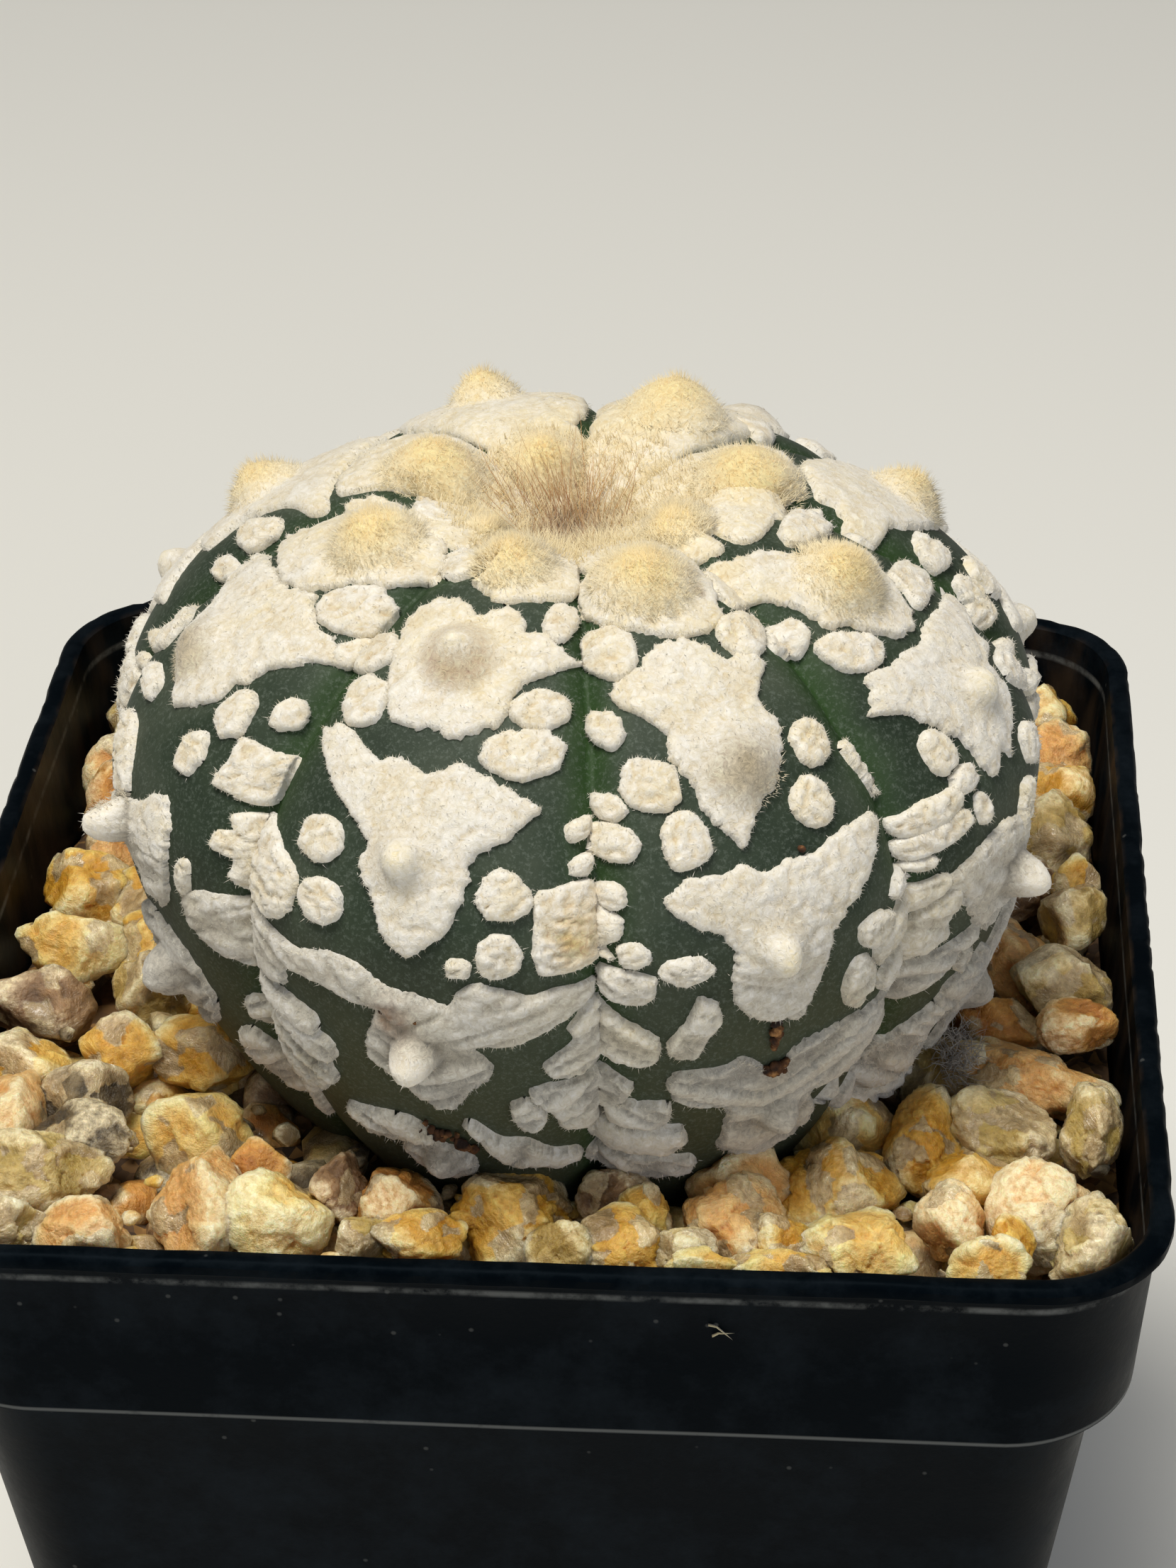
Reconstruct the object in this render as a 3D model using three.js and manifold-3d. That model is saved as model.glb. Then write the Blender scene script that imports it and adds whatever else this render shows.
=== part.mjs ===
// A potted super kabuto star cactus: one plant, its gravel top dressing and soil, and a square nursery pot.
// Millimetres, +Z up. The origin is the middle of the pot's foot, and the side the plant is seen from faces -Y.
import * as THREE from "three";
import { mergeVertices } from "three/addons/utils/BufferGeometryUtils.js";
import Module from "manifold-3d";

const wasm = await Module();
wasm.setup();

// Pot
const RIM_WIDTH = 65;
const POT_HEIGHT = 60;
const COLLAR_HEIGHT = 11.2;
const FOOT_WIDTH = 47.2;
const WALL = 0.9;
const FLOOR = 1.4;
const LIP = 0.7;
const RIM_CORNER = 6.6;
const DRAIN_RADIUS = 2.6;
const DRAIN_OFFSET = 14;
const GAP = 0.3;

// Cactus: the crown is at [CACTUS_X, CACTUS_Y], and its widest level is EQUATOR_Z above the pot's foot
const CACTUS_X = 1.7;
const CACTUS_Y = -4.3;
const EQUATOR_Z = POT_HEIGHT + 14.3;
const BODY_RADIUS = 24.3;
const DOME_HEIGHT = 15.1;
const BODY_DEPTH = 30;
const BODY_POWER = 1.75;
const CROWN_SINK = 4.6;
const CROWN_WIDTH = 6;
const GROOVE_DEPTH = 0.06;
const GROOVE_POWER = 4;
const FLECK_HEIGHT = 0.6;
const TUBER_BOTTOM = 24;

// Fill
const GRAVEL_FRONT_Z = POT_HEIGHT - 2.2;
const GRAVEL_FALL = 4.2;
const SOIL_TOP = POT_HEIGHT - 12;

const COLOURS = {
  pot: 0x17191d,
  soil: 0x3a2c22,
  gravel: 0xc89a55,
  cactus: 0x4a5848,
};

// Seeded draws from 0 to 1, the same in every run.
let seed = 41;
function draw() {
  seed = (seed * 16807) % 2147483647;
  return seed / 2147483647;
}

function solid(geometry) {
  const bare = geometry.index ? geometry.toNonIndexed() : geometry.clone();
  bare.deleteAttribute("normal");
  bare.deleteAttribute("uv");
  const merged = mergeVertices(bare, 1e-4);
  return new wasm.Manifold(
    new wasm.Mesh({
      numProp: 3,
      vertProperties: merged.attributes.position.array,
      triVerts: new Uint32Array(merged.index.array),
    }),
  );
}

function geometryOf(body) {
  const mesh = body.getMesh();
  const geometry = new THREE.BufferGeometry();
  geometry.setAttribute("position", new THREE.BufferAttribute(mesh.vertProperties, 3));
  geometry.setIndex(new THREE.BufferAttribute(mesh.triVerts, 1));
  return geometry;
}

function largest(body) {
  const parts = body.decompose();
  return parts.reduce((a, b) => (a.volume() > b.volume() ? a : b));
}

// A closed skin over rings of equal point count, from the first ring to the last, with a point closing each end.
function skin(rings, start, end) {
  const count = rings[0].length;
  const positions = [...start];
  rings.forEach((ring) => ring.forEach((point) => positions.push(...point)));
  positions.push(...end);
  const last = 1 + rings.length * count;
  const index = [];
  for (let i = 0; i < count; i++) {
    const j = (i + 1) % count;
    index.push(0, 1 + j, 1 + i);
    index.push(last, last - count + i, last - count + j);
    for (let k = 0; k < rings.length - 1; k++) {
      const a = 1 + k * count;
      const b = a + count;
      index.push(a + i, a + j, b + j);
      index.push(a + i, b + j, b + i);
    }
  }
  const geometry = new THREE.BufferGeometry();
  geometry.setAttribute("position", new THREE.BufferAttribute(new Float32Array(positions), 3));
  geometry.setIndex(index);
  return solid(geometry);
}

// Pot: a thin blow-moulded shell with a deep collar, a narrow lip and four drain holes.
const CORNER_STEPS = 6;

function square(z, half, corner) {
  const points = [];
  for (let side = 0; side < 4; side++) {
    for (let step = 0; step <= CORNER_STEPS; step++) {
      const turn = (Math.PI / 2) * (side + step / CORNER_STEPS);
      const sideX = side === 0 || side === 3 ? 1 : -1;
      const sideY = side < 2 ? 1 : -1;
      const x = sideX * (half - corner) + corner * Math.cos(turn);
      const y = sideY * (half - corner) + corner * Math.sin(turn);
      points.push([x, y, z]);
    }
  }
  return points;
}

const RIM = RIM_WIDTH / 2;
const FOOT = FOOT_WIDTH / 2;
const STEP_Z = POT_HEIGHT - COLLAR_HEIGHT;
const COLLAR_TOP = RIM - LIP;
const COLLAR_BOTTOM = RIM - 1.3;
const BODY_TOP = RIM - 3.1;
const LIP_THICKNESS = 0.8;
const LEDGE_Z = STEP_Z + WALL - 0.5;

function potShell() {
  const outside = [
    square(0, FOOT - 0.8, 4),
    square(0.8, FOOT, 4),
    square(STEP_Z - 0.5, BODY_TOP, 5),
    square(STEP_Z, COLLAR_BOTTOM, 7),
    square(POT_HEIGHT - LIP_THICKNESS - 0.4, COLLAR_TOP, 6.3),
    square(POT_HEIGHT - LIP_THICKNESS, RIM, RIM_CORNER),
    square(POT_HEIGHT, RIM, RIM_CORNER),
  ];
  const inside = [
    square(POT_HEIGHT, COLLAR_TOP - WALL, 5.6),
    square(STEP_Z + WALL, COLLAR_BOTTOM - WALL, 6.2),
    square(LEDGE_Z, BODY_TOP - WALL, 4.4),
    square(FLOOR, FOOT - WALL, 3.4),
  ];
  let shell = skin([...outside, ...inside], [0, 0, 0], [0, 0, FLOOR]);
  for (const x of [-DRAIN_OFFSET, DRAIN_OFFSET]) {
    for (const y of [-DRAIN_OFFSET, DRAIN_OFFSET]) {
      const drill = new THREE.CylinderGeometry(DRAIN_RADIUS, DRAIN_RADIUS, 4 * FLOOR, 16);
      drill.rotateX(Math.PI / 2).translate(x, y, FLOOR / 2);
      shell = shell.subtract(solid(drill));
    }
  }
  return shell;
}

// The room inside the pot, kept clear of its walls, from one level to another.
function potRoom(low, high) {
  const half = (z) => FOOT - WALL - GAP + ((BODY_TOP - FOOT) * (z - FLOOR)) / (LEDGE_Z - FLOOR);
  const rings = [square(low, half(low), 3.4)];
  if (high > LEDGE_Z) {
    rings.push(square(LEDGE_Z, half(LEDGE_Z), 4.2));
    rings.push(square(STEP_Z + WALL + 0.35, COLLAR_BOTTOM - WALL - GAP, 6));
    rings.push(square(high, COLLAR_TOP - WALL - GAP, 5.4));
  } else {
    rings.push(square(high, half(high), 4.2));
  }
  return skin(rings, [0, 0, low], [0, 0, high]);
}

// Cactus body. A place on it is [azimuth, polar angle] in degrees: the azimuth from the front towards +X, the
// polar angle from the crown down, with 90 at the widest level.
const GROOVES = [7, 48, 93, 133, 178, 224, 274, 321];
const RIBS = GROOVES.map((start, i) => {
  const end = i < 7 ? GROOVES[i + 1] : GROOVES[0] + 360;
  return { start, end, middle: (start + end) / 2 };
});
const radians = (degrees) => (degrees * Math.PI) / 180;

function bodyPoint(azimuth, polar) {
  const turned = (((azimuth - GROOVES[0]) % 360) + 360) % 360 + GROOVES[0];
  const rib = RIBS.find((r) => turned >= r.start && turned <= r.end);
  const across = (2 * (turned - rib.middle)) / (rib.end - rib.start);
  const shrink = 1 - GROOVE_DEPTH * Math.abs(across) ** GROOVE_POWER;
  const sine = Math.sin(radians(polar)) ** (2 / BODY_POWER);
  const cosine = Math.cos(radians(polar));
  const depth = cosine > 0 ? DOME_HEIGHT : -BODY_DEPTH;
  const radius = BODY_RADIUS * sine;
  const level = depth * Math.abs(cosine) ** (2 / BODY_POWER);
  const sink = CROWN_SINK * Math.exp(-((radius / CROWN_WIDTH) ** 2));
  return new THREE.Vector3(
    CACTUS_X + radius * shrink * Math.sin(radians(azimuth)),
    CACTUS_Y - radius * shrink * Math.cos(radians(azimuth)),
    EQUATOR_Z + level * (0.35 + 0.65 * shrink) - sink,
  );
}

function bodyNormal(azimuth, polar) {
  const here = bodyPoint(azimuth, polar);
  const down = bodyPoint(azimuth, Math.min(polar + 0.5, 179)).sub(here);
  const round = bodyPoint(azimuth + 0.5, polar).sub(here);
  return down.cross(round).normalize();
}

// Felt stars: a woolly areole at a place, its mound [radius, height] in millimetres, and the star's outline.
const STARS = [
  // Rib at azimuth 27
  {
    areole: [25, 27], mound: [2.9, 1.8],
    outline: [[7, 29], [8.5, 24], [18, 20.5], [33, 19.3], [45, 22.5], [43.5, 28], [40.5, 32],
      [37.5, 35.8], [31, 36.2], [24, 35.5], [17, 33.5], [10, 32]],
  },
  {
    areole: [28, 55], mound: [2.6, 0.9],
    outline: [[20, 38], [16, 39.8], [12, 42], [12, 44.5], [16, 46.5], [19, 49], [18.7, 52.5], [20.5, 56],
      [21.5, 61], [24, 65], [25.3, 67.3], [27.3, 64.5], [29, 61.5], [32.5, 58.8], [35, 55], [36.5, 51],
      [35.5, 48], [37, 45.5], [40, 43.5], [39, 41.3], [36.5, 40.3], [33.5, 41.5], [31, 38.5], [28, 36.8],
      [24, 36.5]],
  },
  {
    areole: [27.3, 86.5], mound: [1.8, 1.2],
    outline: [[14.8, 74.5], [16, 71.5], [18, 70], [22.5, 70.3], [25, 69.3], [26.5, 70.8], [28, 71.5],
      [30.7, 70], [33.5, 70.8], [38.5, 68.8], [44, 69], [45.3, 71], [43.5, 74], [41, 78], [37.5, 82],
      [35, 85.5], [34.3, 90], [33.2, 94], [31, 99.5], [28, 99.5], [24.8, 98.5], [22, 94.3], [22.2, 86],
      [21, 81], [18.3, 79]],
  },
  {
    areole: [30, 113.5], mound: [1.5, 1.0],
    outline: [[15, 106], [17, 104.5], [21.5, 104.5], [24, 103.8], [26.5, 105.5], [28.5, 107], [31, 104.5],
      [36, 103], [41.5, 103], [46, 103.3], [49, 101.8], [55, 101], [61, 100.5], [61, 102.5], [58, 103.5],
      [54, 106], [49.5, 107], [46.5, 106.5], [44, 109.5], [41.5, 111.5], [38.5, 112.5], [35.5, 112.5],
      [35, 113.5], [37, 116], [36, 119], [32.5, 121], [29, 122], [25.5, 120.5], [23, 118.5], [23.3, 115.5],
      [22.7, 111.5], [20.5, 110.5], [17, 109.5], [15.5, 108]],
  },
  // Rib at azimuth -16
  {
    areole: [-16, 22.5], mound: [2.4, 1.5],
    outline: [[-41, 16.5], [-30, 12.5], [-10, 11], [4, 12.5], [6.5, 18], [6.5, 24], [3, 28.3],
      [-3.5, 28], [-14.5, 29.3], [-24, 27], [-23, 23.5], [-31, 19.3]],
  },
  {
    areole: [-17.5, 39], mound: [2.2, 1.4],
    outline: [[-31, 33], [-27, 31], [-22, 31], [-17, 32.5], [-14, 31], [-8, 31], [-6, 34], [-2, 34],
      [3, 37.5], [6.3, 38.5], [1, 39.5], [-4, 41], [-6, 43], [-7, 47], [-10, 48], [-13, 49.7], [-18, 49],
      [-22, 49.5], [-26, 48.5], [-28, 45], [-31, 41], [-33, 36]],
  },
  {
    areole: [-16.5, 68], mound: [1.9, 1.1],
    outline: [[-35.5, 53.5], [-31, 52], [-26, 54], [-23.5, 54.7], [-20.5, 53.5], [-16, 55], [-12.5, 53],
      [-8.5, 54], [-4, 56], [-0.3, 58.7], [-1.5, 60.5], [-5, 64], [-8, 66.5], [-8.5, 71], [-10, 78],
      [-12, 82], [-15, 85.5], [-18, 82], [-20, 75], [-22.5, 70], [-22, 66.5], [-26.5, 62.5], [-30.5, 59.5],
      [-34.5, 56]],
  },
  {
    areole: [-14.5, 101.5], mound: [1.7, 1.4],
    outline: [[-49, 93], [-44, 90.5], [-38.5, 89.5], [-34, 90.5], [-29, 91.5], [-24, 89], [-21.5, 90],
      [-19, 92], [-17, 93.5], [-14, 93.5], [-10.5, 94.5], [-9, 92], [-7, 90.5], [-4, 91.2], [-0.8, 92.3],
      [2, 91.3], [6, 91.5], [6, 93.5], [3.5, 96], [-0.5, 98.3], [-3, 99.7], [-7.5, 100.3], [-5.5, 102.8],
      [-6.5, 104.7], [-8.5, 107], [-10.5, 109.3], [-13, 110.5], [-16.5, 108], [-21, 104], [-21, 101.5],
      [-19.5, 97], [-22.5, 96.5], [-26, 95.5], [-31.5, 95.5], [-32.5, 98.5], [-36.5, 99.5], [-40.5, 100.5],
      [-47.5, 98]],
  },
  {
    areole: [-15, 120], mound: [1.3, 0.6],
    outline: [[-21, 119], [-18, 117], [-13, 117.5], [-10, 120], [-12, 123], [-18, 123.5]],
  },
  // Rib at azimuth 70
  {
    areole: [61, 18], mound: [2.1, 1.1],
    outline: [[48, 24.5], [46, 20], [49, 14], [62, 12.5], [80, 13], [84, 16], [76, 18.5], [65, 20.4],
      [60.5, 22.5], [58, 25.6], [51, 26]],
  },
  {
    areole: [69, 39.5], mound: [2.8, 1.8],
    outline: [[45, 28.2], [49, 28], [52, 27], [54, 28.3], [58, 28.8], [63.5, 30.2], [70, 33.8], [77, 36],
      [82.5, 38], [84, 41.3], [81, 42.7], [79, 45], [77, 47], [75, 49], [72, 50.5], [68, 50], [66, 48.5],
      [63.5, 46.5], [61, 44.3], [57.5, 42.5], [56, 38.5], [53.5, 37], [51.5, 36], [47, 36], [43.5, 34.5],
      [41.5, 32.5], [43, 30]],
  },
  {
    areole: [71.5, 63], mound: [2.0, 0.9],
    outline: [[52.5, 56.3], [54.5, 53.6], [57, 51], [61.5, 51.9], [64.5, 51.6], [68, 52.2], [71, 52.8],
      [74, 51.9], [78.5, 52.3], [84, 53.2], [88.5, 54.9], [91.5, 57.5], [88.5, 58.9], [84, 59.6],
      [83.5, 63], [79.8, 63.7], [79, 69], [76, 72], [73, 73.5], [71, 76], [69.5, 73.5], [67, 75.5],
      [65, 75.5], [64, 72.5], [63.5, 67], [61.5, 64.5], [59.5, 61.5], [57.5, 58.7], [54, 57]],
  },
  {
    areole: [67.5, 97], mound: [1.7, 1.5],
    outline: [[53, 90.5], [57.5, 87.5], [60.5, 86], [63, 85.5], [66, 86], [70, 90], [73, 95], [71, 101],
      [65, 103], [60, 100], [56, 94.5]],
  },
  // Rib at azimuth -62
  {
    areole: [-51, 14.5], mound: [1.3, 0.6],
    outline: [[-60, 13.5], [-55, 11.5], [-46, 11.5], [-43, 14], [-46, 17], [-52, 18], [-58, 16.8]],
  },
  {
    areole: [-61, 29], mound: [2.7, 1.8],
    outline: [[-78, 41], [-87, 42.5], [-88.5, 40], [-87, 37], [-83, 34], [-89.5, 32.5], [-91, 30.5],
      [-90, 28], [-87, 26], [-74, 23.8], [-66, 23.2], [-56, 22.6], [-47, 22.6], [-42, 25.3], [-37, 27.8],
      [-37, 29.5], [-41, 30.5], [-45, 32.5], [-51.5, 34], [-57, 37.3], [-63.5, 40.3], [-70.5, 41]],
  },
  {
    areole: [-67, 55], mound: [2.4, 0.9],
    outline: [[-87.5, 46], [-80, 43.5], [-74.5, 42], [-65, 41.5], [-58, 39.3], [-54.5, 40.7], [-51, 42],
      [-46, 42.4], [-42, 44], [-40.5, 45.5], [-46, 46.6], [-48.5, 48.5], [-51.5, 50], [-53, 53],
      [-55, 55], [-56, 58], [-60, 62], [-63, 63.5], [-66, 62], [-69, 60], [-73, 59], [-75.5, 56],
      [-76, 52], [-79, 50.3], [-84, 50], [-88, 48.5]],
  },
  {
    areole: [-63.5, 89], mound: [1.7, 1.5],
    outline: [[-57, 77], [-54.5, 75.5], [-53, 78], [-51.5, 84], [-52, 92], [-53.5, 97], [-58, 98],
      [-62, 95.5], [-67, 93], [-69, 88], [-64, 84], [-60, 81]],
  },
  {
    areole: [-56.5, 107], mound: [1.9, 1.5],
    outline: [[-66, 104], [-58, 101], [-52, 103], [-49, 108], [-52, 113], [-58, 115], [-64, 112]],
  },
  // Rib at azimuth 113
  {
    areole: [100, 25], mound: [3.3, 1.9],
    outline: [[66, 21.8], [80, 19.8], [90, 16.7], [97, 14.7], [108, 14.2], [119, 16.5], [124, 21],
      [125, 28], [121, 32.3], [110, 32.7], [101, 32.3], [95, 30.8], [80, 28.6], [70, 28.3], [64, 27.3],
      [62.5, 25]],
  },
  {
    areole: [117, 53], mound: [2.4, 1.7],
    outline: [[114.5, 34], [119.5, 37.5], [123.5, 43], [125, 49.5], [124, 54], [121, 58.5], [116, 60],
      [112.5, 58], [109, 54.5], [103, 49], [100.5, 45.7], [96.5, 45], [93.5, 45.2], [89.7, 42],
      [89.7, 39.8], [94.5, 39.7], [97.3, 38], [98.8, 36.3], [99, 34.5], [107, 33.9]],
  },
  // Rib at azimuth 155
  {
    areole: [153, 28], mound: [3.2, 2.2],
    outline: [[136, 20], [146, 16], [158, 15], [170, 17], [176, 22], [175, 30], [171, 37], [160, 41],
      [150, 41], [140, 37], [135, 29]],
  },
  // Rib at azimuth -159
  {
    areole: [-158, 14.5], mound: [2.3, 1.4],
    outline: [[-178, 12], [-168, 9.5], [-150, 9.5], [-139, 12], [-137, 16], [-146, 17.8], [-158, 18.3],
      [-170, 18.5], [-178, 16.5]],
  },
  {
    areole: [-156, 37], mound: [2.2, 1.9],
    outline: [[-178, 25], [-171, 20.5], [-160, 20], [-149, 19.6], [-140, 20.5], [-138, 26], [-138, 33],
      [-138.5, 40], [-141, 46], [-150, 50], [-160, 51], [-170, 48], [-177, 41], [-179, 32]],
  },
  // Rib at azimuth -111
  {
    areole: [-104, 20.5], mound: [3.1, 2.0],
    outline: [[-134, 21], [-128, 15.5], [-113, 13], [-95, 12.5], [-80, 12.8], [-68, 14.3], [-64, 16],
      [-69, 17.6], [-86, 20], [-90, 22], [-92, 24], [-93.5, 26.5], [-94, 31], [-96, 33], [-107, 33.4],
      [-120, 33], [-130, 30]],
  },
  {
    areole: [-112, 50], mound: [2.5, 1.8],
    outline: [[-92, 34.5], [-103, 34.7], [-116, 35], [-128, 37], [-133, 43], [-131, 51], [-124, 57],
      [-114, 61], [-104, 60], [-98.5, 55.5], [-101.5, 50.5], [-101.5, 47], [-98.5, 42], [-94.5, 39],
      [-90.5, 37.3]],
  },
];

// Irregular flecks of felt, by their outlines.
const PLATES = [
  [[-0.5, 72], [1, 70.8], [6, 70.5], [7.5, 75], [10, 77], [9.5, 81], [8, 83.5], [9, 86], [6.5, 87],
    [3, 88], [0, 87.5], [-0.7, 82], [-0.5, 77]],
  [[18.5, 93.5], [20.5, 95], [21, 97.5], [19.5, 99.5], [18.5, 102], [16, 102.5], [14.8, 101.5],
    [14.6, 100.3], [16.5, 97.5], [17.8, 94]],
  [[6.3, 94.5], [8, 96], [12.5, 98.5], [14, 100], [13.8, 102.5], [12, 103.5], [8.5, 103.3], [5.5, 104.8],
    [1.5, 104.8], [0, 103], [1.5, 101.6], [3.8, 99.7], [3, 98], [4.5, 96]],
  [[-1.8, 106.8], [0.5, 105.8], [4, 106], [8, 105.6], [11, 106.8], [10.8, 108.5], [10, 110], [8, 112],
    [5, 114], [2, 113], [0.8, 110.5], [-1.2, 108.3]],
  [[-10.5, 112.5], [-9, 112], [-6, 114.5], [-2.5, 114.7], [0.5, 117], [4, 118], [3.8, 120], [0, 120],
    [-4, 119.8], [-7, 118], [-9, 115]],
  [[-27.5, 114], [-24, 113.5], [-19, 113], [-15.5, 114.5], [-15, 116.5], [-20, 118], [-24, 118],
    [-27, 116.5]],
  [[-47, 60], [-39, 60.5], [-38.7, 64], [-39.8, 69.3], [-45, 69], [-48, 68.5], [-47.5, 64]],
  [[-43.5, 72], [-41, 70.6], [-36, 70.8], [-33, 73], [-30.5, 75], [-29.8, 78], [-30.3, 83], [-31.5, 85.5],
    [-33.5, 87.8], [-36, 86.8], [-40, 87], [-42, 84], [-42, 80.5], [-45, 79], [-45, 76], [-43, 74.5]],
  [[-53.5, 40], [-54.5, 38.3], [-53, 36.5], [-50, 34.6], [-45.5, 33.5], [-41, 35], [-39.5, 37],
    [-39.8, 40], [-43, 40.8], [-47, 41.2], [-51, 41]],
  [[36, 36.3], [38.5, 35.3], [42, 35.5], [45.2, 37], [45.6, 39], [44, 40.5], [40, 42], [37, 41.6],
    [35.5, 40], [34.8, 38]],
  [[44.6, 41.6], [46.7, 40.2], [49, 39.8], [52, 39.6], [53.7, 41], [52.5, 43.3], [50, 44.8],
    [48.3, 45.1], [46.4, 44]],
  [[80.5, 44.5], [86.5, 45.8], [91, 48.3], [93.5, 50.7], [93, 52], [88.5, 52.2], [83, 51.2],
    [78.5, 50.7], [77.3, 49.3], [79, 47.5], [79.7, 45.7]],
  [[52, 45], [55, 43.8], [59, 44.8], [62.5, 47], [63, 49], [60.5, 50.7], [57, 50.6], [53.5, 49]],
  [[-73, 72], [-69, 72], [-66, 76], [-63.5, 82], [-64, 84], [-67, 85.5], [-70, 82], [-73, 77]],
  [[-88, 23], [-87.5, 21.4], [-74, 18.9], [-63, 17.9], [-56, 19.2], [-58, 20.6], [-66.5, 21.7],
    [-76.5, 22.4]],
  [[-43, 23.2], [-42, 20.5], [-34, 21], [-27, 24.3], [-29, 27], [-36, 27.6], [-40.5, 26]],
  [[-96.5, 48.8], [-98, 47], [-95, 43], [-92.5, 41.5], [-90, 42.5], [-88.8, 44.3], [-89, 47],
    [-92, 48.6]],
  [[-87, 70.5], [-88, 66], [-87.5, 61.5], [-84, 57.8], [-79, 56.3], [-77.8, 59], [-77, 61.5],
    [-79, 64.5], [-83, 68]],
  [[80, 29.6], [88, 30.9], [94.5, 33], [95.8, 35], [93, 36.7], [87, 36.2], [80.5, 34.6], [74.5, 33.4],
    [71.5, 31.6], [74, 30]],
  [[100, 48.9], [102, 50], [102.7, 52.5], [102.5, 55.3], [100, 56], [96.8, 55.3], [95.2, 54.2],
    [95.7, 52.3], [97, 50.5], [98.5, 49.4]],
  [[82.8, 64.8], [88, 66.7], [93, 71], [95.5, 76], [95.2, 80], [90, 78.5], [84.5, 73], [81.8, 68.5]],
];

// Round flecks: azimuth, polar angle, and their half sizes both ways, all in degrees on the body.
const DOTS = [
  [1.5, 32, 3.5, 2.8], [12, 37, 5.3, 3.8], [-1, 45, 5, 2.6], [-3, 51, 6.3, 3.4], [9.7, 48, 2.7, 2.7],
  [15, 56, 4.3, 4.1], [9.2, 59.4, 2.4, 2.2], [4.8, 62.4, 1.9, 2], [9.3, 64.6, 3.6, 3.1],
  [5, 68, 1.6, 1.9], [18.5, 64.4, 3.4, 4.6], [-4, 72.2, 3.3, 4.6], [8.8, 73.3, 1.9, 2.6],
  [11, 84.3, 2, 3.3], [10.2, 91.4, 3.5, 3.2], [16.8, 88, 3.2, 3.6], [-8.9, 86.5, 1.6, 2.7],
  [-4.4, 83.3, 2.8, 5], [-2, 110.3, 2.3, 2.5], [-31, 48, 4.4, 3.6], [-43, 54.5, 2.5, 2.7],
  [-51, 58, 3.2, 4], [-54, 66.5, 2.6, 4.2], [-28.3, 68.4, 3.3, 4.2], [-26.3, 78.7, 3.2, 4.5],
  [-48.5, 88.5, 1.4, 4.3], [-29, 109.6, 1.9, 1.7], [40, 55.5, 3.3, 3.5], [36.3, 63.3, 3.2, 4],
  [38.8, 97.8, 2.5, 3.6], [58.5, 66, 2.8, 4.1], [60, 72.2, 2.8, 2.6], [61.2, 79, 1.6, 3.6],
  [50.5, 84, 2.2, 1.8], [46.5, 85.7, 2.7, 3], [40.8, 90.4, 2.9, 3.4], [97.3, 61, 2.5, 3.6],
  [77.5, 79, 2.8, 4.6], [59.6, 105, 1.7, 1.6], [-89, 52, 2.8, 2.2], [-72.5, 65.6, 3.8, 2.6],
  [-171, 28.5, 4, 2.4], [173, 28, 3, 3],
];

// Long flecks: from one place to another, with a half width in millimetres.
const STREAKS = [
  [[9.8, 111.6], [14.2, 111], 0.75], [[7.5, 116], [16, 115.5], 0.9], [[7, 121.5], [18.3, 121], 0.8],
  [[-40, 43.3], [-34.5, 41], 0.95], [[-37, 101.2], [-29.5, 102.2], 0.7], [[-34, 104.2], [-28, 105.6], 0.75],
  [[-41, 107], [-31, 110.8], 0.85], [[-37, 110.5], [-34, 113], 1.0], [[-44, 114], [-38, 120], 1.2],
  [[45.6, 58.8], [48, 68], 0.4], [[50.5, 75.3], [56, 74], 1.05], [[50, 80], [56.5, 78.6], 1.05],
  [[42.8, 94.8], [52, 90.2], 0.95], [[50.5, 96.6], [54, 94.2], 0.9], [[44.5, 100], [52.5, 98], 0.9],
  [[52, 116], [56.5, 113], 1.2], [[45, 119.8], [57, 119.5], 0.8], [[70, 92], [72.5, 85], 0.85],
];

// The far ribs repeat the flecks of a near one: [rib, model rib, side, polar shift, least polar angle].
const FAR_RIBS = [
  [1, 0, 1, 3, 106],
  [2, 0, 1, 0, 62],
  [3, 0, -1, 0, 37],
  [4, 7, -1, 0, 50],
  [5, 7, 1, 7, 59],
];

// An azimuth counted from a rib's middle, between -180 and 180.
const fromMiddle = (azimuth, rib) => ((((azimuth - rib.middle) % 360) + 540) % 360) - 180;

function onFarRib(place, [target, model, side, shift]) {
  const from = RIBS[model];
  const to = RIBS[target];
  const stretch = (side * (to.end - to.start)) / (from.end - from.start);
  return [to.middle + fromMiddle(place[0], from) * stretch, place[1] + shift];
}

function middleOf(outline) {
  const sum = outline.reduce((total, place) => [total[0] + place[0], total[1] + place[1]], [0, 0]);
  return [sum[0] / outline.length, sum[1] / outline.length];
}

function repeats(middle, far) {
  const from = RIBS[far[1]];
  const across = Math.abs(fromMiddle(middle[0], from));
  return across < (from.end - from.start) / 2 && middle[1] + far[3] > far[4];
}

for (const far of FAR_RIBS) {
  const move = (place) => onFarRib(place, far);
  const stretch = (RIBS[far[0]].end - RIBS[far[0]].start) / (RIBS[far[1]].end - RIBS[far[1]].start);
  for (const star of STARS.filter((s) => repeats(s.areole, far))) {
    STARS.push({ areole: move(star.areole), mound: star.mound, outline: star.outline.map(move) });
  }
  for (const plate of PLATES.filter((p) => repeats(middleOf(p), far))) PLATES.push(plate.map(move));
  for (const dot of DOTS.filter((d) => repeats(d, far))) {
    DOTS.push([...move(dot), dot[2] * stretch, dot[3]]);
  }
  for (const streak of STREAKS.filter((s) => repeats(middleOf(s.slice(0, 2)), far))) {
    STREAKS.push([move(streak[0]), move(streak[1]), streak[2]]);
  }
}

// Azimuths near a place, so that those either side of the back compare.
const near = (azimuth, place) => place + ((((azimuth - place) % 360) + 540) % 360) - 180;

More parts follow.
